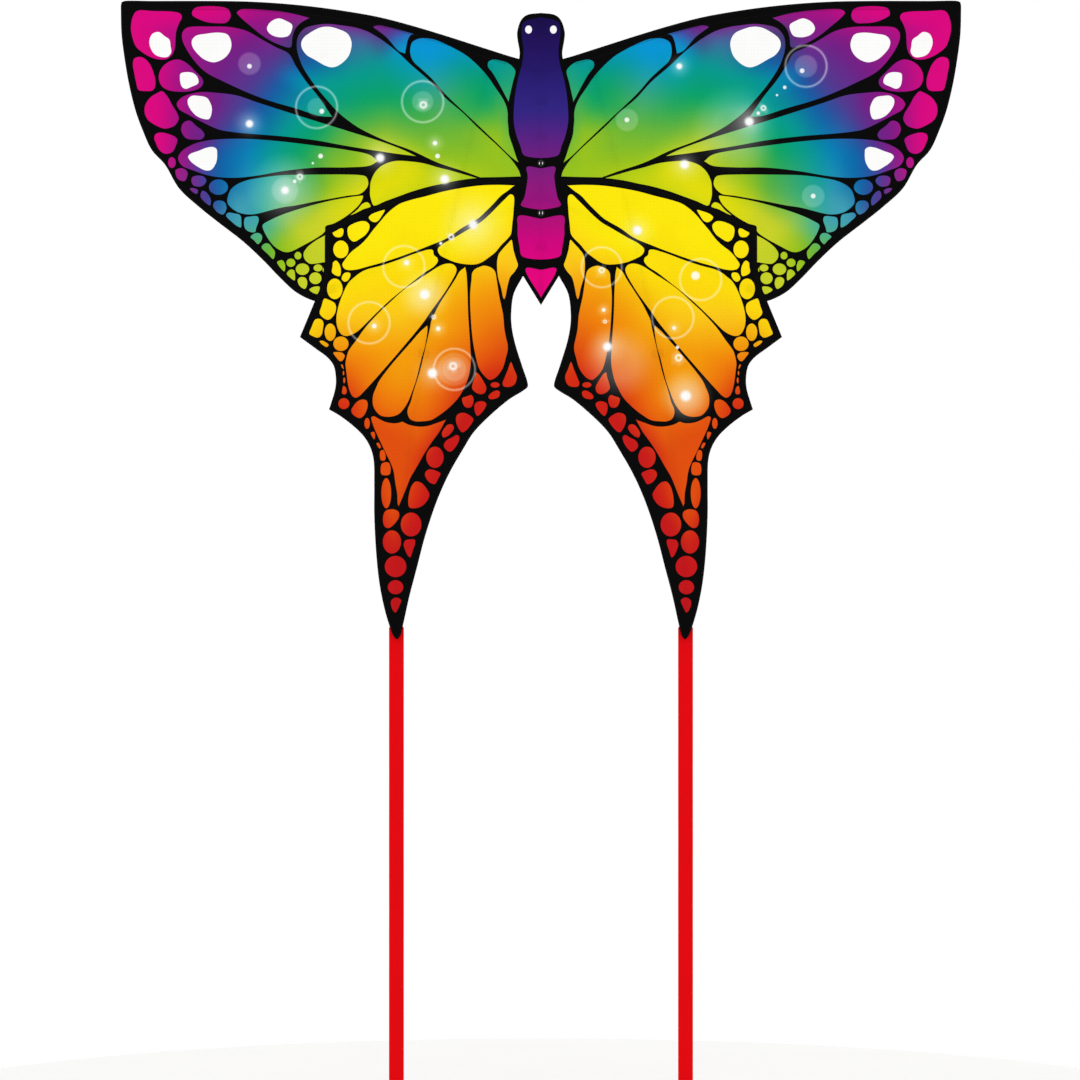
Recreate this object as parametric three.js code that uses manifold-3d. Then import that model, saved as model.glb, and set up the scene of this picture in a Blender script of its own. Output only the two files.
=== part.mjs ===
// Swallowtail butterfly kite: a printed sail whose two wings flex back from a central spine, on a
// frame of fibreglass rods, with one long ribbon hanging from each swallowtail tip.
// Units are millimetres. The origin is the upper tow eyelet, +Z is up, +X is the right wing
// and -Y is the printed front. The sail stands flat in the XZ plane and the frame lies behind it.
import * as THREE from 'three';
import { mergeVertices } from 'three/addons/utils/BufferGeometryUtils.js';
import ManifoldModule from 'manifold-3d';

const wasm = await ManifoldModule();
wasm.setup();

// ---------------------------------------------------------------- driving dimensions

const SAIL_THICKNESS = 0.8;
const PANEL_GAP = 0.3; // between panels that are sewn edge to edge
const FOLD_X = 14; // the wings flex back about upright lines at this distance from the middle

const ROD_RADIUS = 2;
const ROD_Y = 4.5; // depth of the rods' centre lines behind the sail
const BORE_RADIUS = 2.3; // of anything that slides on a rod
const TUBE_RADIUS = 3.3; // outside of the flexible joiner tubes
const BACKING_FRONT = 0.9; // front face of what is sewn to the back of the sail
const BACKING_DEPTH = 7.2;
const POCKET_END_WALL = 2.5;
const POCKET_CORNER = 2.2;

const HEAD_TOP_Z = 232.5;
const BODY_TIP_Z = -219.5;
const SPINE_TOP_Z = 226;
const SPINE_BOTTOM_Z = -205;
const HEAD_POCKET = { mouth: 198, end: 229, halfWidth: 7 };
const BODY_TIP_POCKET = { mouth: -180, end: -208, halfWidth: 5.2 };
const SPINE_LOOPS_Z = [95, 40, -130];
const SPINE_LOOP_LENGTH = 12;
const LOOP_FLANGE = 9;

const UPPER_HUB = { z: 141.2, slope: 0.375 }; // slope: rise of an arm per unit outwards
const LOWER_HUB = { z: -50, slope: -0.447 };
const HUB_HEIGHT = 20;
const HUB_RADIUS = 3.6;
const HUB_ARM_REACH = 9;
const HUB_PAD = { width: 12, depth: 3.4, height: 14, y: 8.3 };
const HUB_STOP_OFFSET = 12.5;
const HUB_STOP_LENGTH = 4;

const TOW_EYELETS_Z = { upper: 0, lower: -77 };
const EYELET = { bore: 3, neck: 3.7, flange: 5.6, hole: 4, front: 1.3, lip: 0.7 };

const JOINER_START_X = 19;
const JOINER_LENGTH_X = 24;
const SLEEVE_SPAN = [47, 612]; // distances from the middle
const SLEEVE_FLANGES = { upper: 4.8, lower: 8.5 };
const TIP_POCKET = { mouth: 616, end: 644, z: 245, halfWidth: 5.2 };
const SPREADER_END_X = 341;
const SPREADER_POCKET = { mouth: 318, end: 345, halfWidth: 6.5 };
const TAIL_TOP_POCKET = { mouth: 130, end: 153, halfWidth: 6.5 };
const TAIL_SPAR_TOP = { x: 80, z: 150, lean: 0.245 }; // lean: outwards per unit downwards
const TAIL_POCKET = { mouth: -660, end: -722, halfWidth: 5 };
const TAIL_SPAR_LOOP_AT = 0.52; // along the tail spar
const TAIL_SPAR_LOOP_LENGTH = 14;

const TAIL_X = 224; // the ribbons hang this far from the middle
const TAIL_Y = 11;
const RING = { z: -690, radius: 7, wire: 0.9 };
const TAB_WIDTH = 5;
const RIBBON = { width: 23, thickness: 0.8, eyeWidth: 7, fullWidthZ: -709 };
const ROLL = { z: -1450, radius: 20, core: 7 };
const TIE = { band: 1.2, width: 4, clearance: 0.6, lean: 25, inner: 2 };

// ---------------------------------------------------------------- sail outlines (x and z, left wing)

const LEADING_EDGE = [
  [-50, 166], [-100, 182], [-150, 198], [-200, 213], [-250, 226], [-300, 235], [-350, 242],
  [-400, 247], [-450, 250], [-500, 251], [-600, 251], [-647, 250],
];
const FOREWING_OUTER_EDGE = [
  [-650, 246], [-650, 235], [-649, 200], [-644, 160], [-637, 120], [-627, 80], [-616, 50],
  [-602, 20], [-582, -2], [-560, -39], [-530, -67], [-500, -91], [-460, -122], [-430, -150],
  [-402, -179], [-380, -199], [-360, -210],
];
const WING_SEAM = [
  [-350, -213.5], [-340, -203], [-334, -185], [-331, -165], [-331, -108], [-329, -103],
  [-318, -98.5], [-280, -80.5], [-240, -65], [-200, -50.3], [-150, -37.5], [-120, -32],
  [-94, -28.3], [-31, -27.5],
];
const HINDWING_OUTER_EDGE = [
  [-350.2, -214], [-373, -269], [-350, -286], [-330, -301], [-321, -313], [-317.5, -330],
  [-318, -347], [-325, -372], [-328, -381], [-311, -391], [-290, -407], [-274, -423],
  [-264, -440], [-259, -459], [-258, -500], [-258, -543], [-255, -603], [-250, -650],
  [-242, -690], [-233, -720], [-228, -733],
];
const HINDWING_INNER_EDGE = [
  [-223, -737], [-218, -733], [-213.5, -715], [-203.5, -670], [-192.5, -628], [-178, -573],
  [-160, -520], [-141.5, -479], [-119, -440], [-106, -419], [-89, -400], [-50, -366],
  [-29, -353], [-20.5, -347], [-20, -341], [-28, -317], [-41, -275], [-45.5, -250],
  [-46, -232], [-42, -202], [-27.6, -175.5],
];
const BODY_SIDE_AT_FOREWING = [
  [-34, 161], [-39, 142], [-48, 102], [-51, 80], [-51, 60], [-46, 35], [-35, 3], [-31, -10],
  [-30, -27],
];
const BODY_SIDE_AT_HINDWING = [
  [-30, -28], [-34, -55], [-41, -80], [-44, -105], [-42, -130], [-35, -155], [-28, -174],
];
const HEAD_SIDE = [
  [-20, 230], [-28, 225], [-33, 217], [-36, 207], [-37, 200], [-36, 190], [-33, 171],
];

// ---------------------------------------------------------------- frame lines (left wing)

const EDGE_SPAR_LINE = [
  [-19, 148.4], [-34, 154], [-50, 160], [-100, 176], [-150, 192], [-200, 207], [-250, 220],
  [-300, 229], [-350, 236], [-400, 241], [-450, 244], [-500, 245], [-600, 245], [-640, 245],
];
const TAIL_SPAR_LINE = [
  [-80, 150], [-117, 0], [-152, -150], [-182, -300], [-205, -450], [-219, -580],
  [-224, -660], [-224, -716],
];
// Distance outwards and depth of the spreader, which rides over the tail spar where they cross.
const SPREADER_LINE = [
  [19, 4.5], [45, 4.6], [75, 6], [110, 8.4], [144, 9.4], [180, 8.9], [240, 6.9], [300, 5],
  [SPREADER_END_X, 4.5],
];

// ---------------------------------------------------------------- materials

const finish = (color, roughness, metalness = 0) => (
  new THREE.MeshStandardMaterial({ color, roughness, metalness })
);
const MATERIALS = {
  wingCloth: finish(0xf0a818, 0.75),
  bodyCloth: finish(0x3a1b6e, 0.75),
  blackCloth: finish(0x101010, 0.9),
  rod: finish(0x141414, 0.35),
  nylon: finish(0x161616, 0.6),
  vinyl: finish(0x1a1a1a, 0.5),
  steel: finish(0xb8b8bc, 0.3, 1),
  ribbon: finish(0xd8000e, 0.6),
  elastic: finish(0x181818, 0.8),
};

// ---------------------------------------------------------------- helpers

const vector = (x, y, z) => new THREE.Vector3(x, y, z);
const onSide = (points, side) => points.map(([x, z]) => [x * -side, z]);
const shifted = (points, dx, dz) => points.map(([x, z]) => [x + dx, z + dz]);
const shapeOf = (points) => new THREE.Shape(points.map(([a, b]) => new THREE.Vector2(a, b)));
const atRodDepth = ([x, z]) => vector(x, ROD_Y, z);
const spinePoint = (z) => vector(0, ROD_Y, z);
const smooth = (points) => new THREE.CatmullRomCurve3(points, false, 'centripetal');

function disc(radius) {
  return new THREE.Shape().absarc(0, 0, radius, 0, 2 * Math.PI, false);
}

function annulus(outer, inner) {
  const shape = disc(outer);
  shape.holes.push(new THREE.Path().absarc(0, 0, inner, 0, 2 * Math.PI, true));
  return shape;
}

function along(shape, path, steps, curveSegments) {
  return new THREE.ExtrudeGeometry(shape, { extrudePath: path, steps, curveSegments });
}

// A straight bar between two points of the rods' plane. Its section's x runs to the kite's front.
function bar(shape, from, to, curveSegments = 6) {
  const run = to.clone().sub(from);
  const depth = run.length();
  const geometry = new THREE.ExtrudeGeometry(shape, { depth, bevelEnabled: false, curveSegments });
  const ahead = run.normalize();
  const front = vector(0, -1, 0);
  const across = new THREE.Vector3().crossVectors(ahead, front);
  return geometry.applyMatrix4(new THREE.Matrix4().makeBasis(front, across, ahead).setPosition(from));
}

// A flat plate in the plane of the sail, from an outline of x and z points.
function plate(shape, middleY, thickness) {
  const geometry = new THREE.ExtrudeGeometry(shape, {
    depth: thickness, bevelEnabled: false, curveSegments: 10,
  });
  return geometry.rotateX(Math.PI / 2).translate(0, middleY + thickness / 2, 0);
}

const sailPlate = (points) => plate(shapeOf(points), 0, SAIL_THICKNESS);

// A strip seen from the side: an outline of y and z points with one hole, spread along x.
function strip(outline, hole, width) {
  const shape = shapeOf(outline);
  shape.holes.push(new THREE.Path(hole.map(([y, z]) => new THREE.Vector2(y, z))));
  const geometry = new THREE.ExtrudeGeometry(shape, { depth: width, bevelEnabled: false });
  const turned = new THREE.Matrix4().makeBasis(vector(0, 1, 0), vector(0, 0, 1), vector(1, 0, 0));
  return geometry.translate(0, 0, -width / 2).applyMatrix4(turned);
}

// The channel or strap of cloth that holds a rod to the sail: two sewn flanges and an arch.
// In this section, x runs forwards from the rod and y runs across it.
function archShape(flangeA, flangeB) {
  const cloth = 0.8;
  const inner = 2.4;
  const outer = inner + cloth;
  const base = ROD_Y - BACKING_FRONT;
  const shape = new THREE.Shape();
  shape.moveTo(base, flangeA);
  shape.lineTo(base - cloth, flangeA);
  shape.lineTo(base - cloth, outer);
  shape.absarc(0, 0, outer, Math.PI / 2, (3 * Math.PI) / 2, false);
  shape.lineTo(base - cloth, -outer);
  shape.lineTo(base - cloth, -flangeB);
  shape.lineTo(base, -flangeB);
  shape.lineTo(base, -inner);
  shape.absarc(0, 0, inner, (3 * Math.PI) / 2, Math.PI / 2, true);
  shape.lineTo(base, inner);
  return shape;
}

function toSolid(geometry) {
  const bare = geometry.clone();
  bare.deleteAttribute('normal');
  bare.deleteAttribute('uv');
  const merged = mergeVertices(bare, 1e-4);
  return new wasm.Manifold(new wasm.Mesh({
    numProp: 3,
    vertProperties: new Float32Array(merged.getAttribute('position').array),
    triVerts: new Uint32Array(merged.getIndex().array),
  }));
}

function fromSolid(solid) {
  const mesh = solid.getMesh();
  const geometry = new THREE.BufferGeometry();
  geometry.setAttribute('position', new THREE.Float32BufferAttribute(mesh.vertProperties, 3));
  geometry.setIndex(Array.from(mesh.triVerts));
  return geometry;
}

function roundedSection(halfDepth, halfWidth, corner) {
  const shape = new THREE.Shape();
  shape.moveTo(-halfDepth + corner, -halfWidth);
  shape.lineTo(halfDepth - corner, -halfWidth);
  shape.absarc(halfDepth - corner, -halfWidth + corner, corner, -Math.PI / 2, 0, false);
  shape.lineTo(halfDepth, halfWidth - corner);
  shape.absarc(halfDepth - corner, halfWidth - corner, corner, 0, Math.PI / 2, false);
  shape.lineTo(-halfDepth + corner, halfWidth);
  shape.absarc(-halfDepth + corner, halfWidth - corner, corner, Math.PI / 2, Math.PI, false);
  shape.lineTo(-halfDepth, -halfWidth + corner);
  shape.absarc(-halfDepth + corner, -halfWidth + corner, corner, Math.PI, (3 * Math.PI) / 2, false);
  return shape;
}

// A sewn pocket for the end of a rod: a rounded bar with a blind bore that opens at its mouth.
function pocket(mouth, end, halfWidth) {
  const webbing = bar(roundedSection(BACKING_DEPTH / 2, halfWidth, POCKET_CORNER), end, mouth, 3);
  const inwards = mouth.clone().sub(end).normalize();
  const boreEnd = end.clone().addScaledVector(inwards, POCKET_END_WALL);
  const past = mouth.clone().addScaledVector(inwards, 5);
  const bore = bar(disc(BORE_RADIUS), boreEnd, past);
  return fromSolid(toSolid(webbing).subtract(toSolid(bore)));
}

// ---------------------------------------------------------------- the centre

function bodyStrip() {
  const half = FOLD_X - PANEL_GAP / 2;
  const shape = shapeOf([
    [-half, 231], [-half, -196.5], [0, BODY_TIP_Z], [half, -196.5], [half, 231], [0, HEAD_TOP_Z],
  ]);
  for (const z of Object.values(TOW_EYELETS_Z)) {
    shape.holes.push(new THREE.Path().absarc(0, z, EYELET.hole, 0, 2 * Math.PI, true));
  }
  return plate(shape, 0, SAIL_THICKNESS);
}

function towEyelet() {
  const { bore, neck, flange, front, lip } = EYELET;
  const profile = [
    [bore, -front], [flange, -front], [flange, -lip], [neck, -lip], [neck, lip], [flange, lip],
    [flange, front], [bore, front], [bore, -front],
  ];
  return new THREE.LatheGeometry(profile.map(([r, y]) => new THREE.Vector2(r, y)), 20);
}

// A moulded cross that slides on the spine; its arms point along the rods they carry.
function hub({ slope }) {
  const barrel = bar(disc(HUB_RADIUS), spinePoint(-HUB_HEIGHT / 2), spinePoint(HUB_HEIGHT / 2), 8);
  const bore = bar(disc(BORE_RADIUS), spinePoint(-HUB_HEIGHT), spinePoint(HUB_HEIGHT), 8);
  const pad = new THREE.BoxGeometry(HUB_PAD.width, HUB_PAD.depth, HUB_PAD.height);
  pad.translate(0, HUB_PAD.y, 0);
  let body = toSolid(barrel).add(toSolid(pad));
  for (const side of [-1, 1]) {
    const armEnd = vector(side * HUB_ARM_REACH, ROD_Y, slope * HUB_ARM_REACH);
    body = body.add(toSolid(bar(disc(HUB_RADIUS - 0.1), spinePoint(0), armEnd, 8)));
  }
  return fromSolid(body.subtract(toSolid(bore)));
}

function hubStop() {
  const half = HUB_STOP_LENGTH / 2;
  return bar(annulus(HUB_RADIUS, BORE_RADIUS), spinePoint(-half), spinePoint(half));
}

function spineLoop() {
  const half = SPINE_LOOP_LENGTH / 2;
  return bar(archShape(LOOP_FLANGE, LOOP_FLANGE), spinePoint(-half), spinePoint(half), 8);
}

function makeCentre() {
  const centre = new THREE.Group();
  const put = (name, geometry, material, z = 0) => {
    const mesh = new THREE.Mesh(geometry, material);
    mesh.name = name;
    mesh.position.z = z;
    centre.add(mesh);
  };
  const spine = bar(disc(ROD_RADIUS), spinePoint(SPINE_BOTTOM_Z), spinePoint(SPINE_TOP_Z));
  put('body_strip', bodyStrip(), MATERIALS.bodyCloth);
  put('spine_rod', spine, MATERIALS.rod);
  const spinePockets = { head_pocket: HEAD_POCKET, body_tip_pocket: BODY_TIP_POCKET };
  for (const [name, { mouth, end, halfWidth }] of Object.entries(spinePockets)) {
    put(name, pocket(spinePoint(mouth), spinePoint(end), halfWidth), MATERIALS.blackCloth);
  }
  put('upper_hub', hub(UPPER_HUB), MATERIALS.nylon, UPPER_HUB.z);
  put('lower_hub', hub(LOWER_HUB), MATERIALS.nylon, LOWER_HUB.z);
  put('lower_hub_stop_above', hubStop(), MATERIALS.nylon, LOWER_HUB.z + HUB_STOP_OFFSET);
  put('lower_hub_stop_below', hubStop(), MATERIALS.nylon, LOWER_HUB.z - HUB_STOP_OFFSET);
  put('upper_tow_eyelet', towEyelet(), MATERIALS.nylon, TOW_EYELETS_Z.upper);
  put('lower_tow_eyelet', towEyelet(), MATERIALS.nylon, TOW_EYELETS_Z.lower);
  SPINE_LOOPS_Z.forEach((z, i) => put(`spine_loop_${i + 1}`, spineLoop(), MATERIALS.blackCloth, z));
  return centre;
}

// ---------------------------------------------------------------- a wing (side is -1 or 1)

function foreWing(side) {
  const bodySide = shifted(BODY_SIDE_AT_FOREWING, -PANEL_GAP, 0).reverse();
  const outline = [...LEADING_EDGE, ...FOREWING_OUTER_EDGE, ...WING_SEAM.slice(0, -1), ...bodySide];
  return sailPlate(onSide(outline, side));
}

function hindWing(side) {
  const seam = shifted(WING_SEAM.slice(1, -1), PANEL_GAP, -PANEL_GAP).reverse();
  const bodySide = shifted(BODY_SIDE_AT_HINDWING, -PANEL_GAP, -PANEL_GAP).reverse();
  const outline = [...seam, ...HINDWING_OUTER_EDGE, ...HINDWING_INNER_EDGE, ...bodySide];
  return sailPlate(onSide(outline, side));
}

function bodyPanel(side) {
  const fold = -FOLD_X - PANEL_GAP / 2;
  const outline = [
    [fold, 231], ...HEAD_SIDE, ...BODY_SIDE_AT_FOREWING, ...BODY_SIDE_AT_HINDWING, [fold, -196],
  ];
  return sailPlate(onSide(outline, side));
}

// A flexible tube pushed over the end of a rod, which bends at the hub's arm.
function joiner(side, { z, slope }) {
  const at = (x) => vector(side * x, ROD_Y, z + slope * x);
  const end = at(JOINER_START_X + JOINER_LENGTH_X);
  return bar(annulus(TUBE_RADIUS, BORE_RADIUS), at(JOINER_START_X), end);
}

function edgeSleeve(side) {
  const [from, to] = SLEEVE_SPAN;
  const covered = smooth(onSide(EDGE_SPAR_LINE, side).map(atRodDepth)).getPoints(130)
    .filter(({ x }) => Math.abs(x) > from && Math.abs(x) < to);
  const { upper, lower } = SLEEVE_FLANGES;
  const section = side > 0 ? archShape(lower, upper) : archShape(upper, lower);
  return along(section, smooth(covered), 24, 8);
}

function tailSparLoop(side, tailSpar) {
  const middle = tailSpar.getPointAt(TAIL_SPAR_LOOP_AT);
  const reach = tailSpar.getTangentAt(TAIL_SPAR_LOOP_AT).multiplyScalar(TAIL_SPAR_LOOP_LENGTH / 2);
  const ends = [middle.clone().sub(reach), middle.clone().add(reach)];
  return bar(archShape(LOOP_FLANGE, LOOP_FLANGE), ...ends, 8);
}

// The webbing tab sewn on the tail pocket; its folded end carries the ring.
function tailTab() {
  const wire = RING.z + RING.radius;
  const outline = [
    [8.4, wire + 18], [8.4, wire - 2.6], [9.2, wire - 3.4], [12.6, wire - 3.4],
    [13.4, wire - 2.6], [13.4, wire + 1.6], [12.6, wire + 2.4], [9.6, wire + 2.4], [9.6, wire + 18],
  ];
  const hole = [[9.7, wire - 2.2], [12.3, wire - 2.2], [12.3, wire + 1.4], [9.7, wire + 1.4]];
  return strip(outline, hole, TAB_WIDTH);
}

function makeWing(side, name) {
  const wing = new THREE.Group();
  const put = (piece, geometry, material) => {
    const mesh = new THREE.Mesh(geometry, material);
    mesh.name = `${name}_${piece}`;
    wing.add(mesh);
  };
  const { wingCloth, bodyCloth, blackCloth, rod, vinyl } = MATERIALS;
  const rodShape = disc(ROD_RADIUS);
  const edgeSpar = smooth(onSide(EDGE_SPAR_LINE, side).map(atRodDepth));
  const tailSpar = smooth(onSide(TAIL_SPAR_LINE, side).map(atRodDepth));
  const spreaderZ = (x) => LOWER_HUB.z + LOWER_HUB.slope * x;
  const spreader = smooth(SPREADER_LINE.map(([x, y]) => vector(side * x, y, spreaderZ(x))));
  const onSpreader = (x) => vector(side * x, ROD_Y, spreaderZ(x));
  const wingTip = (x) => vector(side * x, ROD_Y, TIP_POCKET.z);
  const tailTop = (z) => {
    const x = TAIL_SPAR_TOP.x - (z - TAIL_SPAR_TOP.z) * TAIL_SPAR_TOP.lean;
    return vector(side * x, ROD_Y, z);
  };
  const tailEnd = (z) => vector(side * TAIL_X, ROD_Y, z);

  put('forewing', foreWing(side), wingCloth);
  put('hindwing', hindWing(side), wingCloth);
  put('body_panel', bodyPanel(side), bodyCloth);
  put('edge_sleeve', edgeSleeve(side), blackCloth);
  put('edge_spar', along(rodShape, edgeSpar, 30, 4), rod);
  put('edge_joiner', joiner(side, UPPER_HUB), vinyl);
  put('wing_tip_pocket',
    pocket(wingTip(TIP_POCKET.mouth), wingTip(TIP_POCKET.end), TIP_POCKET.halfWidth), blackCloth);
  put('tail_spar', along(rodShape, tailSpar, 24, 4), rod);
  put('tail_spar_top_pocket',
    pocket(tailTop(TAIL_TOP_POCKET.mouth), tailTop(TAIL_TOP_POCKET.end), TAIL_TOP_POCKET.halfWidth),
    blackCloth);
  put('tail_pocket',
    pocket(tailEnd(TAIL_POCKET.mouth), tailEnd(TAIL_POCKET.end), TAIL_POCKET.halfWidth), blackCloth);
  put('tail_spar_loop', tailSparLoop(side, tailSpar), blackCloth);
  put('spreader', along(rodShape, spreader, 24, 4), rod);
  put('spreader_joiner', joiner(side, LOWER_HUB), vinyl);
  put('spreader_pocket',
    pocket(onSpreader(SPREADER_POCKET.mouth), onSpreader(SPREADER_POCKET.end), SPREADER_POCKET.halfWidth),
    blackCloth);
  put('tail_tab', tailTab().translate(side * TAIL_X, 0, 0), blackCloth);
  return wing;
}

// ---------------------------------------------------------------- a ribbon tail

// The ribbon: a sewn eye on the ring, gathered cloth that widens below it, then the flat ribbon.
function ribbon() {
  const wire = RING.z - RING.radius;
  const eyeOutline = [
    [9.1, wire - 1.8], [9.8, wire - 2.6], [12.2, wire - 2.6], [12.9, wire - 1.8],
    [12.9, wire + 2.2], [12.2, wire + 3], [9.8, wire + 3], [9.1, wire + 2.2],
  ];
  const eyeHole = [[9.75, wire - 1.3], [12.25, wire - 1.3], [12.25, wire + 2.1], [9.75, wire + 2.1]];
  const eyeHalf = RIBBON.eyeWidth / 2 - 0.2;
  const half = RIBBON.width / 2;
  const bottom = ROLL.z + ROLL.radius + 0.4;
  const cloth = shapeOf([
    [-eyeHalf, wire - 1.8], [-half, RIBBON.fullWidthZ], [-half, bottom], [half, bottom],
    [half, RIBBON.fullWidthZ], [eyeHalf, wire - 1.8],
  ]);
  const flat = plate(cloth, TAIL_Y, RIBBON.thickness);
  return fromSolid(toSolid(strip(eyeOutline, eyeHole, RIBBON.eyeWidth)).add(toSolid(flat)));
}

function ribbonRoll() {
  const half = vector(RIBBON.width / 2, 0, 0);
  return bar(annulus(ROLL.radius, ROLL.core), half.clone().negate(), half, 14);
}

// The tie: a flat band through the middle of the roll and back over its outside.
function rollTie() {
  const { band, width, clearance, lean, inner } = TIE;
  const halfX = RIBBON.width / 2 + clearance;
  const reach = ROLL.radius + clearance;
  const loop = shapeOf([
    [-halfX - band, inner - band], [halfX + band, inner - band], [halfX + band, reach + band],
    [-halfX - band, reach + band],
  ]);
  loop.holes.push(shapeOf([[-halfX, inner], [-halfX, reach], [halfX, reach], [halfX, inner]]));
  const geometry = new THREE.ExtrudeGeometry(loop, { depth: width, bevelEnabled: false });
  const tilt = THREE.MathUtils.degToRad(90 - lean);
  return geometry.translate(0, 0, -width / 2).rotateX(tilt);
}

function makeTail(side, name) {
  const tail = new THREE.Group();
  tail.position.x = side * TAIL_X;
  const put = (piece, geometry, material, y = 0, z = 0) => {
    const mesh = new THREE.Mesh(geometry, material);
    mesh.name = `${name}_${piece}`;
    mesh.position.set(0, y, z);
    tail.add(mesh);
  };
  const ring = new THREE.TorusGeometry(RING.radius, RING.wire, 8, 28).rotateX(Math.PI / 2);
  put('tail_ring', ring, MATERIALS.steel, TAIL_Y, RING.z);
  put('ribbon', ribbon(), MATERIALS.ribbon);
  put('ribbon_roll', ribbonRoll(), MATERIALS.ribbon, TAIL_Y, ROLL.z);
  put('roll_tie', rollTie(), MATERIALS.elastic, TAIL_Y, ROLL.z);
  return tail;
}

// ---------------------------------------------------------------- the kite

const kite = new THREE.Group();
kite.name = 'swallowtail_butterfly_kite';
kite.add(makeCentre());
for (const [side, name] of [[-1, 'left'], [1, 'right']]) {
  kite.add(makeWing(side, name));
  kite.add(makeTail(side, name));
}

export default kite;
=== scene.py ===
# A swallowtail butterfly kite, built round its CAD frame: a printed sail on fibreglass rods, with a
# long red ribbon rolled up at the end of each tail. Lengths in this script are millimetres.
import math

import bpy
import numpy as np
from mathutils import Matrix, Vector, geometry, noise


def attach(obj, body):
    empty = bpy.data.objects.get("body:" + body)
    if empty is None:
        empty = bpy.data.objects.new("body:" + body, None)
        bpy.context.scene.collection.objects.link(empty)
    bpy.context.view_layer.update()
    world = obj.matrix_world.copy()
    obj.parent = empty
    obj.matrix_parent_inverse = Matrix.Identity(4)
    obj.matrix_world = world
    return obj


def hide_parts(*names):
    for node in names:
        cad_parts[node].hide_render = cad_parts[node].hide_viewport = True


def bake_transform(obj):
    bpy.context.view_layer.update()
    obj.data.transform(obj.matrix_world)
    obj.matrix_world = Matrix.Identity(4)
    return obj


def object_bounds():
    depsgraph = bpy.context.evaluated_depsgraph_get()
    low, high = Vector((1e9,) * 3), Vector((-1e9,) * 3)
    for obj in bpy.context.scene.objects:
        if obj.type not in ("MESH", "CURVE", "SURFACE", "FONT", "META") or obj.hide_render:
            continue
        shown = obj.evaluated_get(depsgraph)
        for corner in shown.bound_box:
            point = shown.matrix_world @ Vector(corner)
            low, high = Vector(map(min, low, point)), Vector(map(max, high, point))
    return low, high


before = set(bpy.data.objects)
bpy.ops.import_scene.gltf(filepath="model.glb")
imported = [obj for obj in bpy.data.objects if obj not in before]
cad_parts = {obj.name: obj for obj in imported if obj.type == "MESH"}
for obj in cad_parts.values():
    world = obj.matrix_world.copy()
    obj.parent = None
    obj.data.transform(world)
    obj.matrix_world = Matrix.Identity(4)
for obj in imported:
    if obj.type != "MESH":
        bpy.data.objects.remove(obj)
CAD_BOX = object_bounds()

MM = 0.001
SIDES = {"left": -1, "right": 1}
SHARP = "sharp"  # after an outline's point: a corner
FRONT_TO_BACK = Vector((0, 1, 0))


def metres(x, y, z):
    return Vector((x, y, z)) * MM


# ------------------------------------------------------------------ camera, floor and light

VIEW_WIDTH = 1671
VIEW_CENTRE = (-1.5, 0, -583)
LENS, SENSOR = 150, 36
FAR_CLIP = 100  # metres
FLOOR_GAP = 12
FLOOR_RADIUS = 1150
LIT_POINT = (0, 0, -0.6)  # metres, as the lights' places are
LIGHTS = {  # place, size in metres, watts
    "key": ((-2.4, -3.6, 1.8), 2.0, 9),
    "fill": ((2.8, -3.0, -0.2), 2.4, 3),
    "rim": ((0.5, 3.2, 1.6), 2.0, 8),
}


def make_camera():
    data = bpy.data.cameras.new("camera")
    data.lens = LENS
    data.sensor_width = SENSOR
    data.clip_end = FAR_CLIP
    camera = bpy.data.objects.new("camera", data)
    bpy.context.scene.collection.objects.link(camera)
    x, y, z = VIEW_CENTRE
    camera.location = metres(x, y - VIEW_WIDTH * LENS / SENSOR, z)
    camera.rotation_euler = (math.pi / 2, 0, 0)
    bpy.context.scene.camera = camera


def make_lights():
    for name, (place, size, watts) in LIGHTS.items():
        data = bpy.data.lights.new(name, "AREA")
        data.shape = "DISK"
        data.size = size
        data.energy = watts
        light = bpy.data.objects.new(name, data)
        bpy.context.scene.collection.objects.link(light)
        light.location = place
        light.rotation_euler = (Vector(LIT_POINT) - Vector(place)).to_track_quat("-Z", "Y").to_euler()


def make_studio():
    """A white room all round, shown in plain colours."""
    world = bpy.data.worlds.new("studio")
    world.use_nodes = True
    background = world.node_tree.nodes["Background"]
    background.inputs["Color"].default_value = (1, 1, 1, 1)
    background.inputs["Strength"].default_value = 1.0
    bpy.context.scene.world = world
    bpy.context.scene.view_settings.view_transform = "Standard"
    make_lights()


# ------------------------------------------------------------------ curves and meshes


def bare(point):
    return Vector([c for c in point if c is not SHARP])


def smooth_line(points, step, closed=False):
    """Points about a step apart on a smooth curve through points, with a corner at each SHARP one."""
    count = len(points)
    made = []
    for i in range(count if closed else count - 1):
        start, end = points[i], points[(i + 1) % count]
        p1, p2 = bare(start), bare(end)
        free_start = SHARP in start or (not closed and i == 0)
        free_end = SHARP in end or (not closed and i == count - 2)
        p0 = p1 * 2 - p2 if free_start else bare(points[i - 1])
        p3 = p2 * 2 - p1 if free_end else bare(points[(i + 2) % count])
        k1 = (p1 - p0).length ** 0.5
        k2 = k1 + (p2 - p1).length ** 0.5
        k3 = k2 + (p3 - p2).length ** 0.5
        pieces = max(1, math.ceil((p2 - p1).length / step))
        for j in range(pieces):
            t = k1 + (k2 - k1) * j / pieces
            a1 = p0.lerp(p1, t / k1)
            a2 = p1.lerp(p2, (t - k1) / (k2 - k1))
            a3 = p2.lerp(p3, (t - k2) / (k3 - k2))
            b1 = a1.lerp(a2, t / k2)
            b2 = a2.lerp(a3, (t - k1) / (k3 - k1))
            made.append(b1.lerp(b2, (t - k1) / (k2 - k1)))
    if not closed:
        made.append(bare(points[-1]))
    return made


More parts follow.
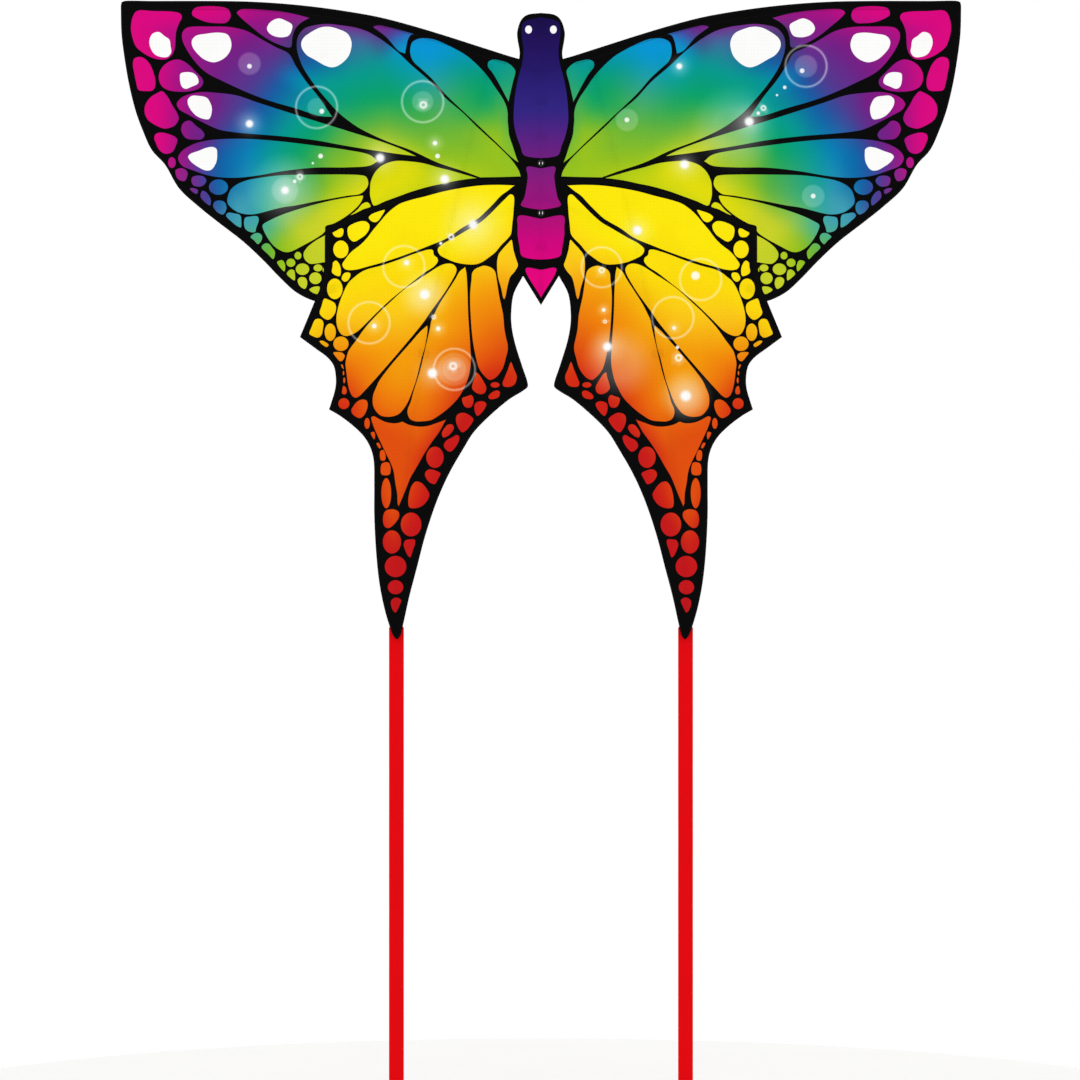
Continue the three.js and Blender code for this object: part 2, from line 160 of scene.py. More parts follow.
def offset(path, distance):
    """A line beside a line of x and z points."""
    made = []
    for i, here in enumerate(path):
        ahead = (path[min(i + 1, len(path) - 1)] - path[max(i - 1, 0)]).normalized()
        made.append(here + Vector((-ahead.y, ahead.x)) * distance)
    return made


def make_mesh(name, points, faces, material, uvs, smooth=True):
    """An object from points in millimetres. Its UVs are its cloth's own two directions, in metres."""
    mesh = bpy.data.meshes.new(name)
    mesh.from_pydata([Vector(p) * MM for p in points], [], faces)
    layer = mesh.uv_layers.new(name="cloth")
    for loop in mesh.loops:
        u, v = uvs[loop.vertex_index]
        layer.data[loop.index].uv = (u * MM, v * MM)
    mesh.polygons.foreach_set("use_smooth", [smooth] * len(mesh.polygons))
    obj = bpy.data.objects.new(name, mesh)
    bpy.context.scene.collection.objects.link(obj)
    mesh.materials.append(material)
    return obj


def stand_in(obj, body, *cad_nodes):
    """The object is shown in place of those CAD nodes, and rides that body."""
    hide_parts(*cad_nodes)
    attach(obj, body)


def band(low, high, size):
    """The faces between two rings of size points each, which start at points low and high."""
    return [(low + j, high + j, high + (j + 1) % size, low + (j + 1) % size) for j in range(size)]


def sweep(name, path, section, material, ring=False, across=None, smooth=True):
    """A solid along a path. section(i, travelled) lists its outline at point i as (across, back)."""
    path = [Vector(p) for p in path]
    count = len(path)
    points, uvs, faces = [], [], []
    travelled = 0
    for i, here in enumerate(path):
        before = path[i - 1] if i or ring else here
        after = path[(i + 1) % count] if i < count - 1 or ring else here
        ahead = (after - before).normalized()
        sideways = across or ahead.cross(FRONT_TO_BACK).normalized()
        up = sideways.cross(ahead).normalized()
        if i:
            travelled += (here - path[i - 1]).length
        outline = section(i, travelled)
        round_it = 0
        for j, (a, b) in enumerate(outline):
            points.append(here + sideways * a + up * b)
            if j:
                round_it += math.dist(outline[j], outline[j - 1])
            uvs.append((travelled, round_it))
    size = len(outline)
    for i in range(count if ring else count - 1):
        faces += band(i * size, ((i + 1) % count) * size, size)
    if not ring:
        faces.append(tuple(range(size)))
        faces.append(tuple(reversed(range(len(points) - size, len(points)))))
    return make_mesh(name, points, faces, material, uvs, smooth)


TUBE_SIDES = 20


def circle(radius, sides=TUBE_SIDES):
    turn = 2 * math.pi / sides
    return [(radius * math.cos(turn * j), radius * math.sin(turn * j)) for j in range(sides)]


EASED_END = 0.6
EASED_RADIUS = 0.72  # of the full one


def rod(name, path, radius, material):
    """A round rod whose cut ends are eased."""
    path = [Vector(p) for p in path]
    first = path[0] + (path[1] - path[0]).normalized() * EASED_END
    last = path[-1] + (path[-2] - path[-1]).normalized() * EASED_END
    path = [path[0], first] + path[1:-1] + [last, path[-1]]
    ends = (0, len(path) - 1)
    return sweep(
        name, path, lambda i, s: circle(radius * (EASED_RADIUS if i in ends else 1)), material
    )


def tube(name, path, outer, inner, material):
    """An open-ended tube."""
    count, size = len(path), TUBE_SIDES
    points, uvs, faces = [], [], []
    for radius in (outer, inner):
        for i, here in enumerate(path):
            ahead = (path[min(i + 1, count - 1)] - path[max(i - 1, 0)]).normalized()
            across = ahead.cross(FRONT_TO_BACK).normalized()
            up = across.cross(ahead)
            for a, b in circle(radius, size):
                points.append(here + across * a + up * b)
                uvs.append(((here - path[0]).length, math.atan2(b, a) * outer))
    inside, last = count * size, (count - 1) * size
    for low in range(0, last, size):
        faces += band(low, low + size, size)
        faces += band(inside + low + size, inside + low, size)
    faces += band(inside, 0, size) + band(last, inside + last, size)
    return make_mesh(name, points, faces, material, uvs)


SPINDLE = [(0, 0), (0.15, 0.8), (0.5, 1), (0.85, 0.8), (1, 0)]  # share of length, share of radius
SPINDLE_SIDES = 5


def stitches(name, path, material, y, pitch=4.2, length=2.9, radius=0.28):
    """A row of thread stitches along a line of x and z points; each is a short spindle."""
    points, uvs, faces = [], [], []
    carried = pitch / 2
    for a, b in zip(path, path[1:]):
        run = (b - a).length
        if run < 1e-6:
            continue
        ahead = (b - a) / run
        side = Vector((-ahead.y, ahead.x))
        while carried < run:
            start = a + ahead * (carried - length / 2)
            base = len(points)
            for share, swell in SPINDLE:
                middle = start + ahead * (length * share)
                depth = y(middle) if callable(y) else y
                for j, (out, back) in enumerate(circle(radius * swell, SPINDLE_SIDES)):
                    place = middle + side * out
                    points.append((place.x, depth + back, place.y))
                    uvs.append((length * share, j * 0.3))
            for ring in range(len(SPINDLE) - 1):
                low = base + ring * SPINDLE_SIDES
                faces += band(low, low + SPINDLE_SIDES, SPINDLE_SIDES)
            carried += pitch
        carried -= run
    return make_mesh(name, points, faces, material, uvs)


# ------------------------------------------------------------------ materials


def code_rgb(code):
    """A colour's three parts, from 0 to 1, from its usual six-figure code."""
    return [int(code[i : i + 2], 16) / 255 for i in (0, 2, 4)]


def to_linear(colours):
    colours = np.asarray(colours)
    return np.where(colours <= 0.04045, colours / 12.92, ((colours + 0.055) / 1.055) ** 2.4)


def rgba(code):
    return (*to_linear(code_rgb(code)), 1)


class Finish:
    """A material and the few node patterns that every finish here is made from."""

    def __init__(self, name, roughness, metallic=0.0, sheen=0.0, coat=0.0, specular=0.5):
        self.material = bpy.data.materials.new(name)
        self.material.use_nodes = True
        self.nodes = self.material.node_tree.nodes
        self.links = self.material.node_tree.links
        self.shader = self.nodes["Principled BSDF"]
        self.shader.inputs["Roughness"].default_value = roughness
        self.shader.inputs["Metallic"].default_value = metallic
        self.shader.inputs["Sheen Weight"].default_value = sheen
        self.shader.inputs["Sheen Roughness"].default_value = 0.4
        self.shader.inputs["Coat Weight"].default_value = coat
        self.shader.inputs["Specular IOR Level"].default_value = specular
        self.where = None
        self.relief = None

    def add(self, kind, **inputs):
        node = self.nodes.new(kind)
        for name, value in inputs.items():
            self.feed(node.inputs[name.replace("_", " ")], value)
        return node

    def feed(self, socket, value):
        if isinstance(value, bpy.types.NodeSocket):
            self.links.new(value, socket)
        else:
            socket.default_value = value

    def on_cloth(self):
        node = self.nodes.new("ShaderNodeUVMap")
        node.uv_map = "cloth"
        self.where = node.outputs["UV"]
        return self

    def on_object(self):
        self.where = self.nodes.new("ShaderNodeTexCoord").outputs["Object"]
        return self

    def math(self, operation, a, b):
        node = self.nodes.new("ShaderNodeMath")
        node.operation = operation
        self.feed(node.inputs[0], a)
        self.feed(node.inputs[1], b)
        return node.outputs[0]

    def grain(self, size, detail=3.0):
        """Soft random variation from 0 to 1, in patches of that size."""
        node = self.add("ShaderNodeTexNoise", Scale=1 / (size * MM), Detail=detail)
        self.links.new(self.where, node.inputs["Vector"])
        return node.outputs["Fac"]

    def threads(self, direction, pitch):
        """Ridges that far apart, from 0 to 1."""
        wave = self.add("ShaderNodeTexWave", Scale=math.pi / 10 / (pitch * MM))
        wave.bands_direction = direction
        self.links.new(self.where, wave.inputs["Vector"])
        return wave.outputs["Fac"]

    def weave(self, pitch):
        return self.math("MULTIPLY", self.threads("X", pitch), self.threads("Y", pitch))

    def span(self, value, low, high):
        node = self.add("ShaderNodeMapRange", Value=value, To_Min=low, To_Max=high)
        return node.outputs["Result"]

    def shade(self, colour, factor):
        """The colour made lighter or darker by a factor that varies."""
        node = self.nodes.new("ShaderNodeMix")
        node.data_type, node.blend_type = "RGBA", "MULTIPLY"
        node.inputs["Factor"].default_value = 1
        a, b = [s for s in node.inputs if s.type == "RGBA"]
        self.feed(a, colour)
        self.links.new(factor, b)
        return [s for s in node.outputs if s.type == "RGBA"][0]

    def emboss(self, height, depth):
        """Relief of that depth in millimetres, on top of any relief made before."""
        bump = self.add("ShaderNodeBump", Height=height, Distance=depth * MM, Strength=1.0)
        if self.relief:
            self.links.new(self.relief, bump.inputs["Normal"])
        self.relief = bump.outputs["Normal"]

    def done(self, colour, roughness=None):
        self.feed(self.shader.inputs["Base Color"], colour)
        if roughness:
            self.feed(self.shader.inputs["Roughness"], roughness)
        if self.relief:
            self.links.new(self.relief, self.shader.inputs["Normal"])
        return self.material


def printed_cloth():
    """Ripstop polyester with the print in its colour attribute, which glows a little from behind."""
    f = Finish("printed_cloth", 0.6, specular=0.04).on_cloth()
    ink = f.nodes.new("ShaderNodeAttribute")
    ink.attribute_name = "ink"
    ripstop = f.math("MAXIMUM", f.threads("X", 5.2), f.threads("Y", 5.2))
    ripstop = f.math("POWER", ripstop, 14.0)
    f.emboss(f.grain(70, 2.0), 0.9)
    f.emboss(f.weave(0.6), 0.03)
    f.emboss(ripstop, 0.06)
    mottled = f.math("MULTIPLY", f.span(f.grain(45), 0.93, 1.0), f.span(ripstop, 1.0, 0.965))
    colour = f.shade(ink.outputs["Color"], mottled)
    material = f.done(colour, f.span(f.grain(18), 0.5, 0.68))
    glow = f.nodes.new("ShaderNodeBsdfTranslucent")
    f.links.new(colour, glow.inputs["Color"])
    f.links.new(f.relief, glow.inputs["Normal"])
    both = f.nodes.new("ShaderNodeMixShader")
    both.inputs["Fac"].default_value = 0.12
    f.links.new(f.shader.outputs["BSDF"], both.inputs[1])
    f.links.new(glow.outputs["BSDF"], both.inputs[2])
    output = [n for n in f.nodes if n.type == "OUTPUT_MATERIAL"][0]
    f.links.new(both.outputs["Shader"], output.inputs["Surface"])
    return material


def plain_cloth(name, code, pitch, sheen):
    f = Finish(name, 0.75, sheen=sheen, specular=0.2).on_cloth()
    f.emboss(f.weave(pitch), pitch * 0.12)
    f.emboss(f.grain(12), 0.15)
    worn = f.math("MULTIPLY", f.span(f.grain(9), 0.85, 1.15), f.span(f.weave(pitch), 0.8, 1.1))
    return f.done(f.shade(rgba(code), worn), f.span(f.grain(6), 0.62, 0.85))


def ribbon_cloth():
    """Satin ribbon: fine ribs across its width, and creases."""
    f = Finish("ribbon_satin", 0.42, specular=0.05).on_cloth()
    f.emboss(f.threads("X", 0.7), 0.03)
    f.emboss(f.grain(16, 2.0), 0.35)
    tone = f.math("MULTIPLY", f.span(f.grain(30), 0.92, 1.0), f.span(f.threads("X", 0.7), 0.94, 1.03))
    return f.done(f.shade(rgba("e60008"), tone), f.span(f.grain(14), 0.36, 0.52))


def fibreglass():
    f = Finish("fibreglass", 0.35, coat=0.15, specular=0.4).on_cloth()
    f.emboss(f.threads("Y", 0.5), 0.015)
    return f.done(f.shade(rgba("0e0e10"), f.span(f.grain(5), 0.7, 1.5)), f.span(f.grain(3), 0.25, 0.45))


def vinyl():
    f = Finish("vinyl_tube", 0.4, coat=0.2).on_cloth()
    f.emboss(f.grain(3), 0.05)
    return f.done(f.shade(rgba("1d1d20"), f.span(f.grain(4), 0.8, 1.3)), f.span(f.grain(2), 0.32, 0.5))


def moulded_nylon(name, code):
    f = Finish(name, 0.5, specular=0.3).on_object()
    f.emboss(f.grain(0.8), 0.04)
    return f.done(f.shade(rgba(code), f.span(f.grain(3), 0.8, 1.25)), f.span(f.grain(1.5), 0.42, 0.6))


def steel(name):
    f = Finish(name, 0.28, metallic=1.0).on_object()
    f.emboss(f.grain(0.4), 0.01)
    return f.done(f.shade(rgba("c4c4c8"), f.span(f.grain(2), 0.85, 1.05)), f.span(f.grain(0.8), 0.2, 0.38))


def pale_floor():
    f = Finish("pale_floor", 0.9).on_object()
    f.emboss(f.grain(4), 0.05)
    return f.done(f.shade(rgba("f7f7f6"), f.span(f.grain(120), 0.98, 1.0)))


# ------------------------------------------------------------------ the print: its inks

INKS = {
    "magenta": "dc0280", "plum": "a01084", "purple": "741d84", "violet": "523a90", "dusk": "46386e",
    "denim": "446b9e", "blue": "0c62a6", "azure": "0084b8", "sky": "0296d6", "teal": "009a92",
    "sea": "3fa0b4", "emerald": "04a268", "mint": "50b58c", "jade": "2aa896", "leaf": "66b43c",
    "lime": "98c31c", "citron": "c8d228", "canary": "e4de04", "lemon": "feea06", "sun": "feda08",
    "gold": "fdca18", "amber": "f59c06", "orange": "ef7a06", "vermilion": "e2500a", "red": "d42a10",
    "crimson": "c4141a", "white": "fdfdfc", "black": "040405",
}
# Where each ink is pure on the left wing; between them it blends like a gradient mesh.
FOREWING_INKS = {
    "magenta": [(-620, 215), (-600, 130), (-590, 80), (-500, 232), (-585, 35)],
    "plum": [(-445, 228), (-400, 232), (-540, 200), (-560, 130), (-550, 92), (-560, 5)],
    "purple": [(-500, 145), (-455, 185), (-500, 90), (-530, 28), (-540, 52), (-240, 208)],
    "violet": [(-435, 135), (-415, 152), (-478, 80), (-518, -55)],
    "dusk": [(-372, 200)],
    "denim": [(-280, 192)],
    "blue": [(-400, 120), (-357, 152), (-430, 76), (-495, 10), (-499, -37), (-497, -70)],
    "azure": [(-450, 20), (-385, 135)],
    "sky": [(-214, 184), (-198, 192), (-170, 192), (-175, 165), (-148, 178)],
    "teal": [(-330, 128), (-350, 92), (-300, 135), (-250, 152), (-385, 62), (-415, 18), (-118, 150),
        (-62, 150)],
    "sea": [(-475, -60), (-475, -88), (-448, -92), (-450, -60)],
    "emerald": [(-270, 98), (-230, 104), (-340, 52), (-375, 18), (-100, 120), (-78, 98)],
    "mint": [(-440, -115), (-420, -98)],
    "jade": [(-430, -62)],
    "leaf": [(-240, 62), (-300, 41), (-330, 14), (-422, -135), (-350, -47), (-200, 50), (-150, 55),
        (-60, 80)],
    "lime": [(-280, 4), (-320, -30), (-400, -122), (-400, -155), (-80, 2), (-50, -12), (-150, 2), (-58, 48)],
    "citron": [(-250, 24), (-290, -32), (-370, -100), (-340, -76), (-365, -165), (-350, -140)],
    "canary": [(-190, -10), (-290, -62), (-250, -34), (-215, -28)],
}
HINDWING_INKS = {
    "lemon": [(-280, -100), (-200, -80), (-80, -46), (-65, -90), (-300, -155), (-250, -120), (-130, -130)],
    "sun": [(-240, -185), (-280, -200), (-330, -225), (-180, -190)],
    "gold": [(-305, -235), (-50, -150), (-220, -238)],
    "amber": [(-250, -290), (-220, -330), (-190, -290), (-150, -260), (-130, -230), (-90, -200),
        (-58, -195), (-310, -280)],
    "orange": [(-275, -335), (-290, -312), (-240, -372), (-80, -250), (-180, -372)],
    "vermilion": [(-287, -356), (-130, -340), (-150, -382), (-70, -298), (-220, -420), (-200, -450),
        (-215, -500), (-240, -510), (-232, -548), (-275, -385)],
    "red": [(-305, -372), (-80, -328), (-94, -345), (-50, -330), (-190, -515)],
    "crimson": [(-165, -455), (-120, -400), (-200, -560), (-225, -625), (-225, -680)],
}
# The body's print only changes with height.
BODY_INKS = [
    (220, "1a0b4c"), (180, "21105c"), (120, "291d76"), (80, "322482"), (40, "592083"), (-20, "851a7d"),
    (-60, "a0117f"), (-90, "b40b78"), (-120, "d0007f"), (-180, "e8007e"),
]

# ------------------------------------------------------------------ the print: its cells
# Left wing. Each cell is a closed smooth outline of x and z points; a round pebble is its middle
# and its two radii.

FORE_CELLS = [
    [(-622, 237), (-600, 236), (-570, 235), (-558, 232), (-555, 226), (-560, 215), (-564, 203), (-566, 178),
     (-570, 168), (-578, 161), (-592, 160), (-605, 164), (-617, 171), (-627, 180), (-632, 192), (-635, 208),
     (-633, 224), (-628, 234)],
    [(-535, 241), (-488, 241), (-481, 235), (-480, 225), (-487, 217), (-500, 216), (-518, 218), (-535, 225),
     (-540, 229), (-540, 235)],
    [(-471, 233), (-466, 238), (-450, 239), (-420, 237), (-400, 235), (-380, 231), (-357, 225, SHARP),
     (-372, 216), (-380, 207), (-384, 195), (-387, 179), (-408, 184), (-430, 196), (-450, 212), (-466, 226)],
    [(-555, 203), (-548, 210), (-510, 212), (-480, 211), (-455, 205), (-430, 191), (-410, 180), (-390, 170),
     (-379, 151), (-364, 128), (-344, 103), (-322, 71, SHARP), (-341, 72), (-379, 84), (-420, 96),
     (-450, 107), (-490, 125), (-520, 141), (-539, 161), (-552, 182), (-556, 194)],
    [(-632, 152), (-630, 162), (-622, 165), (-614, 163), (-605, 154), (-599, 140), (-596, 128), (-597, 117),
     (-601, 112), (-612, 111), (-623, 113), (-627, 125), (-630, 140)],
    [(-592, 134), (-587, 148), (-575, 158), (-561, 161), (-549, 156), (-534, 142), (-523, 130), (-522, 123),
     (-527, 116), (-541, 111), (-560, 110), (-578, 113), (-588, 120)],
    [(-614, 84), (-612, 92), (-605, 102), (-592, 110), (-586, 112), (-577, 103), (-570, 90), (-562, 77),
     (-560, 68), (-566, 58), (-575, 54), (-583, 53), (-596, 58), (-608, 66), (-613, 75)],
    [(-557, 50), (-555, 61), (-548, 66), (-542, 66), (-533, 58), (-524, 51), (-520, 44), (-524, 37),
     (-535, 36), (-549, 38)],
    [(-564, 92), (-556, 102), (-530, 110), (-500, 109), (-470, 105), (-440, 95), (-400, 82), (-353, 67),
     (-298, 50), (-250, 35), (-215, 22), (-190, 10, SHARP), (-230, 15), (-300, 26), (-350, 35), (-400, 41),
     (-450, 45), (-480, 48), (-500, 52), (-530, 66), (-545, 74), (-560, 83)],
    [(-562, 8), (-556, 19), (-540, 29), (-520, 35), (-490, 38), (-450, 38), (-400, 34), (-343, 27),
     (-300, 21), (-264, 13), (-252, 3, SHARP), (-264, -4), (-300, -7), (-350, -7.5), (-400, -13),
     (-440, -20), (-470, -23), (-500, -22), (-520, -18), (-540, -11), (-556, -4)],
    [(-486, -57), (-484, -48), (-480, -40), (-470, -32), (-455, -26), (-440, -23), (-420, -20), (-400, -18),
     (-350, -17), (-300, -17), (-279, -18), (-271, -20), (-267, -27), (-267, -34), (-271, -41), (-280, -48),
     (-300, -51), (-350, -60), (-380, -66), (-400, -69), (-440, -79), (-450, -80), (-460, -79), (-470, -76),
     (-480, -69), (-485, -63)],
    [(-431, -95), (-420, -88), (-400, -79), (-370, -69), (-324, -57), (-281, -50), (-275, -50), (-279, -62),
     (-299, -81), (-321, -94), (-333, -98), (-334, -106), (-370, -129), (-390, -138), (-400, -137),
     (-413, -129), (-424, -115), (-431, -100)],
    [(-334, -111, SHARP), (-350, -120), (-363, -131), (-368, -140), (-366, -149), (-358, -156),
     (-350, -156), (-334, -153.5, SHARP)],
    [(-265, -41), (-264, -29), (-258, -15), (-250, -6), (-240, 0), (-225, 4), (-200, 3), (-180, 0),
     (-159, -6), (-139, -11), (-120, -16.5), (-96, -23.5, SHARP), (-109, -24.5), (-132, -28), (-150, -32),
     (-170, -36), (-200, -44.5), (-218, -51), (-240, -59), (-259, -66), (-263, -58), (-265, -49)],
    [(-263, -67), (-268, -60), (-276, -62), (-285, -72), (-298, -82, SHARP), (-289, -79), (-275, -72)],
    [(-378, 176), (-378, 190), (-375, 199), (-366, 209), (-350, 214), (-330, 216), (-310, 214), (-290, 211),
     (-270, 205), (-255, 197), (-240, 187), (-220, 171), (-200, 152), (-170, 126), (-147, 101), (-120, 78),
     (-100, 58), (-60, 21), (-43, 3), (-33, -13), (-31, -21, SHARP), (-64, -22), (-94, -22.5, SHARP),
     (-120, -13), (-159, 0), (-200, 19), (-240, 34), (-280, 53), (-298, 65), (-314, 78), (-333, 99),
     (-351, 121), (-368, 147), (-374, 161)],
    [(-203, 174), (-200, 187), (-193, 192), (-183, 194), (-170, 193), (-157, 189), (-130, 176), (-115, 167),
     (-103, 157), (-90, 144), (-80, 132), (-70, 117), (-59, 101), (-53, 88), (-51, 78), (-50, 60),
     (-49, 45), (-43, 26), (-36, 5), (-33, -1, SHARP), (-45, 8), (-70, 32), (-110, 70), (-150, 108),
     (-170, 131), (-185, 145), (-197, 156), (-201, 163)],
    [(-260, 211), (-251, 214), (-240, 212), (-220, 207), (-195, 200, SHARP), (-202, 197), (-206, 189),
     (-208, 180), (-210, 169, SHARP), (-220, 173), (-240, 195), (-253, 205)],
    [(-83, 153), (-81, 158), (-73, 161), (-66, 160), (-52, 156), (-42, 148), (-39, 142), (-43, 125),
     (-48, 103), (-50, 94, SHARP), (-55, 103), (-65, 122), (-75, 139), (-82, 148)],
    [(-599, 40), (-596, 46), (-587, 48), (-577, 46), (-567, 42), (-562, 37), (-564, 28), (-570, 17),
     (-581, 14), (-590, 19), (-596, 30)],
    [(-548, -11), (-546, -17), (-551, -28), (-562, -25), (-566, -11), (-557, -7)],
    [(-541, -23), (-535, -19), (-522, -20), (-517, -27), (-521, -34), (-528, -37), (-539, -34)],
    [(-544, -39), (-537, -38), (-530, -42), (-532, -48), (-538, -46)],
    [(-527, -47), (-524, -42), (-517, -45), (-511, -54), (-510, -59), (-512, -66), (-520, -61), (-527, -53)],
    [(-508, -66), (-505, -59), (-497, -57), (-489, -60), (-486, -68), (-488, -76), (-492, -80), (-500, -77),
     (-505, -72)],
    [(-488, -81), (-484, -76), (-475, -77), (-465, -80), (-463, -91), (-464, -100), (-470, -98), (-480, -90)],
    [(-460, -95), (-458, -84), (-450, -82), (-438, -82), (-436, -88), (-440, -100), (-442, -107),
     (-450, -107), (-457, -103)],
    [(-450, -114), (-443, -108), (-435, -108), (-431, -113), (-432, -120), (-438, -126), (-444, -120)],
    [(-433, -130), (-428, -124), (-421, -124), (-415, -131), (-411, -137), (-414, -149), (-423, -141)],
    [(-409, -153), (-405, -150), (-399, -150), (-395, -159), (-397, -168)],
    [(-394, -171), (-388, -164), (-382, -165), (-380, -172), (-381, -182), (-389, -177)],
    [(-377, -181), (-373, -176), (-364, -177), (-361, -186), (-365, -195), (-374, -190)],
    [(-359, -196), (-353, -191), (-342, -191), (-346, -203)],
]
FORE_PEBBLES = [
    (-571, 1, 6.5, 9), (-499, -37, 15.3, 12.5), (-387, -154, 7.5, 7), (-376, -143, 6, 6.5),
    (-369, -164, 11, 9.5), (-345, -162, 7.5, 6), (-349, -178, 10, 9.7), (-337, -165, 1.5, 4),
]
FORE_WHITES = [
    [(-600, 201), (-591, 203), (-583, 197), (-575, 191), (-573, 180), (-572, 172), (-577, 165), (-586, 164),
     (-597, 168), (-603, 176), (-606, 187), (-604, 196)],
    [(-424, 208), (-419, 218), (-406, 224), (-394, 220), (-385, 214), (-386, 205), (-391, 197), (-406, 195),
     (-419, 200)],
    [(-540, 190), (-534, 197), (-520, 200), (-498, 202), (-485, 199), (-480, 190), (-479, 181), (-483, 170),
     (-492, 161), (-506, 156), (-520, 160), (-530, 168), (-539, 180)],
    [(-558, 138), (-555, 140), (-540, 140), (-532, 134), (-530, 124), (-541, 118), (-550, 115), (-556, 119)],
    [(-546, 99), (-540, 104), (-530, 104), (-517, 101), (-511, 92), (-509, 84), (-511, 72), (-514, 68),
     (-524, 69), (-534, 74), (-542, 83), (-546, 91)],
    [(-546, 10), (-543, 14), (-530, 19), (-517, 24), (-507, 25), (-502, 22), (-501, 15), (-502, 3),
     (-507, -7), (-512, -11), (-520, -11), (-530, -6), (-541, 2)],
    [(-371, 185), (-368, 193), (-360, 200), (-341, 210), (-327, 211), (-315, 208), (-300, 201), (-294, 191),
     (-293, 182), (-297, 167), (-305, 157), (-315, 150), (-323, 148), (-332, 150), (-350, 160), (-362, 167),
     (-369, 176)],
]
